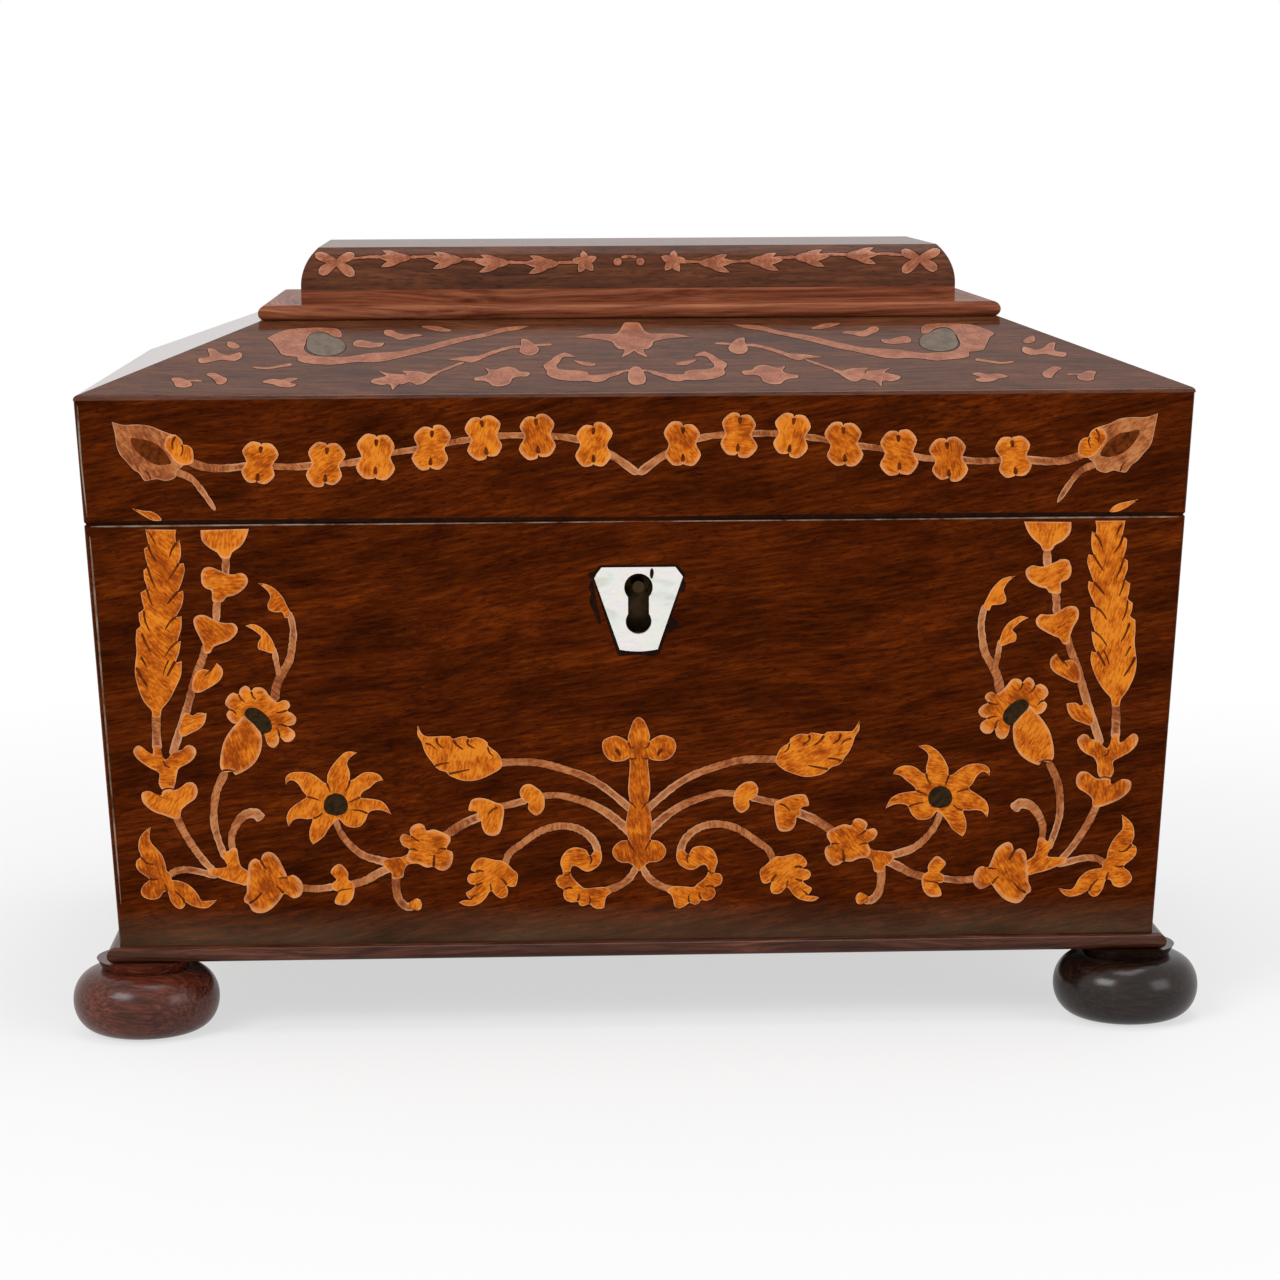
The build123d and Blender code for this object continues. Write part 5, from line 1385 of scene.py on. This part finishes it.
# Dark glue down in the cut: a flat ring round the shell, which also paints the shade in the gap
mesh = bmesh.new()
rings = [
    [mesh.verts.new(on_front(x, up, lift)) for x, up in shield(grown)]
    for grown, lift in (
        (under_shell, glue_low),
        (escutcheon_gap, glue_low),
        (escutcheon_gap, glue_high),
        (under_shell, glue_high),
    )
]
count = len(rings[0])
for ring, following in zip(rings, rings[1:] + rings[:1]):
    for i in range(count):
        mesh.faces.new((ring[i], ring[(i + 1) % count], following[(i + 1) % count], following[i]))
bmesh.ops.recalc_face_normals(mesh, faces=mesh.faces)
keep("escutcheon_glue_and_shade", mesh, "case", [glue_line])

# The padded velvet inside: walls and floor of the case, walls and ceiling of the lid
floor_z = 29.0
rim_z = 131.0
lock_foot = 101.5
lock_side = 28.4
lid_low = 133.0
ceiling = 157.5
# How far the card of a wall pad stands off its board, and the card of a stuffed one off its place
card = 0.5
stuffed_card = 0.6
# The simulation: from where the cloth counts as its rim, how near a tuft it is held, in squares of its
# grid, how many frames it settles, how much of its sideways pull it keeps, and how much it is smoothed
rim_from = 0.999
tuft_reach = 1.2
settling = 20
sideways = 0.5
smoothing = 0.3


def panel(corners, columns, rows):
    """A new grid with the place on four corners of each u and v from -1 to 1, and the way it faces."""
    mesh = bmesh.new()
    sheet = bmesh.ops.create_grid(mesh, x_segments=columns, y_segments=rows, size=1.0)["verts"]
    a, b, c, d = (mm * Vector(corner) for corner in corners)

    def place(u, v):
        s, t = (u + 1) / 2, (v + 1) / 2
        return a.lerp(b, s).lerp(d.lerp(c, s), t)

    return mesh, list(sheet), place, (b - a).cross(d - a).normalized()


def upholstered(name, mesh, body):
    """Makes a velvet piece of a mesh, smooth all over."""
    bmesh.ops.recalc_face_normals(mesh, faces=mesh.faces)
    for face in mesh.faces:
        face.smooth = True
    return keep(name, mesh, body, [velvet])


def pad(name, corners, body, crown, columns, rows):
    """A thin velvet panel over card on four corners: flat behind, softly crowned towards the inside."""
    mesh, sheet, place, outwards = panel(corners, columns, rows)
    upper = set(raise_faces(mesh, list(mesh.faces)))
    for vert in [*sheet, *upper]:
        u, v = vert.co.x, vert.co.y
        rise = math.sqrt((1 - u**8) * (1 - v**8))
        vert.co = place(u, v) + (-outwards * mm * (crown * rise + card) if vert in upper else Vector())
    return upholstered(name, mesh, body)


def stuffed_pad(name, corners, body, columns, rows, tufts, most, pressure):
    """A stuffed panel: a sheet of velvet held at its rim and at its tufts, blown out by its wadding in a
    cloth simulation, then closed with a flat back. most is how far it may stand out, in millimetres."""
    mesh, made, place, normal = panel(corners, columns, rows)
    held = []
    for vert in made:
        u, v = vert.co.x, vert.co.y
        vert.co = place(u, v) + normal * mm * stuffed_card
        near = min(math.hypot((u - tuft_u) * columns, (v - tuft_v) * rows) for tuft_u, tuft_v in tufts)
        if max(abs(u), abs(v)) > rim_from or near < tuft_reach:
            held.append(vert.index)
    mesh.verts.index_update()
    mesh.normal_update()
    if sum(face.normal.dot(normal) for face in mesh.faces) < 0:
        bmesh.ops.reverse_faces(mesh, faces=mesh.faces)
    cloth_piece = object_of(name + "_cloth", mesh)
    data = cloth_piece.data
    flat = [vert.co.copy() for vert in data.vertices]
    places = flat
    group = cloth_piece.vertex_groups.new(name="held")
    group.add(held, 1.0, "REPLACE")
    cloth = cloth_piece.modifiers.new("cloth", "CLOTH")
    cloth.settings.effector_weights.gravity = 0.0
    cloth.settings.use_pressure = True
    cloth.settings.uniform_pressure_force = pressure
    cloth.settings.vertex_group_mass = "held"
    cloth.settings.shrink_min = -0.05
    cloth.settings.quality = 6
    for moment in range(1, settling + 1):
        scene.frame_set(moment)
    swollen = cloth_piece.evaluated_get(bpy.context.evaluated_depsgraph_get())
    places = [vert.co.copy() for vert in swollen.to_mesh().vertices]
    swollen.to_mesh_clear()
    scene.frame_set(1)
    cloth_piece.modifiers.clear()
    mesh = bmesh.new()
    mesh.from_mesh(data)
    bpy.data.objects.remove(cloth_piece)
    sheet = list(mesh.verts)
    for vert, blown, start in zip(sheet, places, flat):
        moved = blown - start
        rise = min(max(moved.dot(normal), 0.0), most * mm)
        vert.co = start + normal * rise + (moved - normal * moved.dot(normal)) * sideways
    inside = [vert for vert in sheet if not vert.is_boundary]
    every_way = {"use_axis_x": True, "use_axis_y": True, "use_axis_z": True}
    bmesh.ops.smooth_vert(mesh, verts=inside, factor=smoothing, **every_way)
    raise_faces(mesh, list(mesh.faces))
    for vert, start in zip(sheet, flat):
        vert.co = start - normal * mm * stuffed_card
    return upholstered(name, mesh, body)


def corners_at(height):
    """The corners inside the walls at a height, round from the left front: inner half width and depth."""
    x, y = half_width(height) - wall, half_depth(height) - wall
    return [(-x, -y, height), (x, -y, height), (x, y, height), (-x, y, height)]


def wall_pads(prefix, names, low, high, rows):
    """Pads on walls between two heights."""
    below, above = corners_at(low), corners_at(high)
    # The corners that each wall runs from and to, and the columns of its pad
    walls = {"left": (3, 0, 24), "right": (1, 2, 24), "back": (2, 3, 36), "front": (0, 1, 36)}
    for name in names:
        first, last, columns = walls[name]
        corners = (below[first], below[last], above[last], above[first])
        pad(f"{prefix}_{name}_pad", corners, prefix, 0.9, columns, rows)


tufts = [(u, v) for u in (-0.5, 0.0, 0.5) for v in (-0.36, 0.36)]
floor_pad = stuffed_pad("case_floor_pad", corners_at(floor_z), "case", 100, 62, tufts, most=3.2, pressure=2.0)
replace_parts(floor_pad, "case_lining")
wall_pads("case", ("left", "right", "back"), floor_z, rim_z, 18)
# The front wall's velvet stops under the lock, and goes on at both sides of it
wall_pads("case", ("front",), floor_z, lock_foot, 16)
low_left, low_right = corners_at(lock_foot)[:2]
top_left, top_right = corners_at(rim_z)[:2]


def beside_lock(side, corner):
    """The point at the lock's left or right that is as deep and as high as a corner."""
    return (side * lock_side, *corner[1:])


corners = (low_left, beside_lock(-1, low_left), beside_lock(-1, top_left), top_left)
pad("case_front_left_pad", corners, "case", 0.8, 18, 10)
corners = (beside_lock(1, low_right), low_right, top_right, beside_lock(1, top_right))
pad("case_front_right_pad", corners, "case", 0.8, 18, 10)

tufts = [(u, v) for u in (-0.6, -0.2, 0.2, 0.6) for v in (-0.5, 0.5)]
tufts += [(u, 0.0) for u in (-0.4, 0.0, 0.4)]
# The ceiling faces down, so its corners run from the left back
above = corners_at(ceiling)[::-1]
ceiling_pad = stuffed_pad("lid_ceiling_pad", above, "lid", 104, 66, tufts, most=5.0, pressure=3.0)
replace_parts(ceiling_pad, "lid_lining")
wall_pads("lid", ("left", "right", "back", "front"), lid_low, ceiling, 8)

# Countersunk screws: each head is two half moons over a dark disc, with the slot open between them
head_radius = 1.45
slot_width = 0.5
head_sides = 12
head_rim = 0.15
head_depth = 0.3
head_lift = 0.01
disc_lift = 0.004
# How the slots are turned: the first one, and each after it, in radians
first_slot = 0.7
slot_step = 1.9


def arc(radius, start, end, count):
    turns = [start + (end - start) * i / count for i in range(count + 1)]
    return [(radius * math.cos(turn), radius * math.sin(turn)) for turn in turns]


def screw_heads(name, places, outward, body, metal):
    """Slotted heads, flush with a plate that faces outward, each turned its own way."""
    mesh = bmesh.new()
    outward = outward.normalized()
    level = outward.cross(Vector((1, 0, 0)))
    cut = math.asin(slot_width / 2 / head_radius)
    outlines = (
        (arc(head_radius + head_rim, 0, math.tau, 2 * head_sides)[:-1], disc_lift, 1),
        (arc(head_radius, cut, math.pi - cut, head_sides), head_lift, 0),
        (arc(head_radius, math.pi + cut, math.tau - cut, head_sides), head_lift, 0),
    )
    for number, place in enumerate(places):
        turn = first_slot + slot_step * number
        right = Vector((math.cos(turn), 0, 0)) + level * math.sin(turn)
        ahead = outward.cross(right)
        for outline, top, material in outlines:
            foot = [place + mm * (right * x + ahead * y - head_depth * outward) for x, y in outline]
            foot = [mesh.verts.new(point) for point in foot]
            upper = raise_faces(mesh, [mesh.faces.new(foot)])
            bmesh.ops.translate(mesh, verts=upper, vec=outward * mm * (top + head_depth))
            for near in {near for vert in foot + upper for near in vert.link_faces}:
                near.material_index = material
    bmesh.ops.recalc_face_normals(mesh, faces=mesh.faces)
    keep(name, mesh, body, [metal, glue_line])


# Where the screws stand: across from the middle of the box or of a hinge, and back or up from the seam
hinge_middle = 75.0
hinge_screw_step = 13.0
hinge_screw_depth = 85.3
link_screw_side = 17.7
link_screw_depth = -84.9
lock_screw_side = 24.8
upwards, downwards = Vector((0, 0, 1)), Vector((0, 0, -1))
hinge_screws = [
    mm * Vector((side * hinge_middle + x, hinge_screw_depth, seam))
    for side in (-1, 1)
    for x in (-hinge_screw_step, 0.0, hinge_screw_step)
]
screw_heads("hinge_case_screws", hinge_screws, upwards, "case", aged_brass)
screw_heads("hinge_lid_screws", hinge_screws, downwards, "lid", aged_brass)
link_screws = [mm * Vector((x, link_screw_depth, seam)) for x in (-link_screw_side, link_screw_side)]
screw_heads("link_plate_screws", link_screws, downwards, "lid", aged_brass)
lock_lift = -wall / math.hypot(1, face_lean)
lock_screws = [
    on_front(x, up, lock_lift) for x in (-lock_screw_side, lock_screw_side) for up in (-5.0, -26.0)
]
inwards = on_front(0, 0, -1) - on_front(0, 0, 0)
screw_heads("lock_plate_screws", lock_screws, inwards, "case", filed_steel)

# Every solid that still shows gets its finish: the first row whose words its name starts and ends with,
# with a finish for grain along X and one for grain along Y on the left and the right
finishes = (
    ("base_moulding", "", base_across, base_deep),
    ("top_moulding", "", moulding_across, moulding_deep),
    ("top_plinth", "", moulding_across, moulding_across),
    ("pillow_top", "", pillow_across, pillow_across),
    ("escutcheon", "", pearl, pearl),
    ("foot_", "left", lit_turned_wood, lit_turned_wood),
    ("foot_", "", shaded_turned_wood, shaded_turned_wood),
    ("hinge_", "", aged_brass, aged_brass),
    ("lock_spring", "", filed_steel, filed_steel),
    ("lock_bolt", "", filed_steel, filed_steel),
    ("lock_", "", shaded_lock_brass, shaded_lock_brass),
    ("link_", "", aged_brass, aged_brass),
    ("slope_", "_veneer", slope_across, slope_deep),
    ("", "_veneer", rosewood_across, rosewood_deep),
    ("", "_board", carcass_across, carcass_deep),
    ("", "", carcass_across, carcass_across),
)
for name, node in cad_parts.items():
    across, deep = next(
        (row[2], row[3]) for row in finishes if name.startswith(row[0]) and name.endswith(row[1])
    )
    node.data.materials.clear()
    node.data.materials.append(deep if "left" in name or "right" in name else across)


def straight_rays(tree):
    """1 for a ray that comes from the camera, or by way of a mirror or a lens, and 0 for any other."""
    path = add(tree, "LightPath")
    seen = path.outputs["Is Camera Ray"]
    for kind in ("Is Glossy Ray", "Is Transmission Ray"):
        seen = add(tree, "Math", {0: seen, 1: path.outputs[kind]}, operation="MAXIMUM").outputs[0]
    return seen


# A plain pale floor that fades into the white behind it, and keeps the shadow
floor_half = 3.0
mesh = bmesh.new()
bmesh.ops.create_grid(mesh, x_segments=1, y_segments=1, size=floor_half)
floor = object_of("floor", mesh)

material, tree = blank("pale_paper_floor")
place = add(tree, "TexCoord").outputs["Object"]
away = add(tree, "VectorMath", {0: place}, operation="LENGTH").outputs["Value"]
fade = {"Value": away, "From Min": 0.16, "From Max": 0.5, "To Min": 0.62, "To Max": 1.0}
fade = add(tree, "MapRange", fade).outputs[0]
share = add(tree, "Math", {0: straight_rays(tree), 1: fade}, operation="MULTIPLY").outputs[0]
paper = add(tree, "BsdfDiffuse", {"Color": linear("#ECECEC")}).outputs[0]
white = add(tree, "Emission", {"Color": linear("#FFFFFF"), "Strength": 1.0}).outputs[0]
floor.data.materials.append(finished(material, add(tree, "MixShader", {0: share, 1: paper, 2: white})))

world = bpy.data.worlds.new("studio")
scene.world = world
world.use_nodes = True
tree = world.node_tree
tree.nodes.clear()
soft = add(tree, "Background", {"Color": linear("#FFFFFF"), "Strength": 0.55}).outputs[0]
white = add(tree, "Background", {"Color": linear("#FFFFFF"), "Strength": 1.0}).outputs[0]
mixed = add(tree, "MixShader", {0: straight_rays(tree), 1: soft, 2: white}).outputs[0]
add(tree, "OutputWorld", {"Surface": mixed})

# Soft lamps turned to the middle of the box: place, power, width and height
box_middle = Vector((0, 0, 0.1))
for name, place, power, width, height in (
    ("key_lamp", (-1.1, -1.2, 1.25), 16.0, 0.9, 0.7),
    ("fill_lamp", (1.3, -1.0, 0.7), 5.0, 0.8, 0.8),
    ("top_lamp", (0.2, -0.1, 1.7), 7.0, 1.0, 0.6),
):
    light = bpy.data.lights.new(name, "AREA")
    light.shape = "RECTANGLE"
    light.size = width
    light.size_y = height
    light.energy = power
    lamp = new_object(name, light)
    lamp.location = place
    lamp.rotation_euler = (box_middle - Vector(place)).to_track_quat("-Z", "Y").to_euler()

scene.view_settings.view_transform = "Standard"
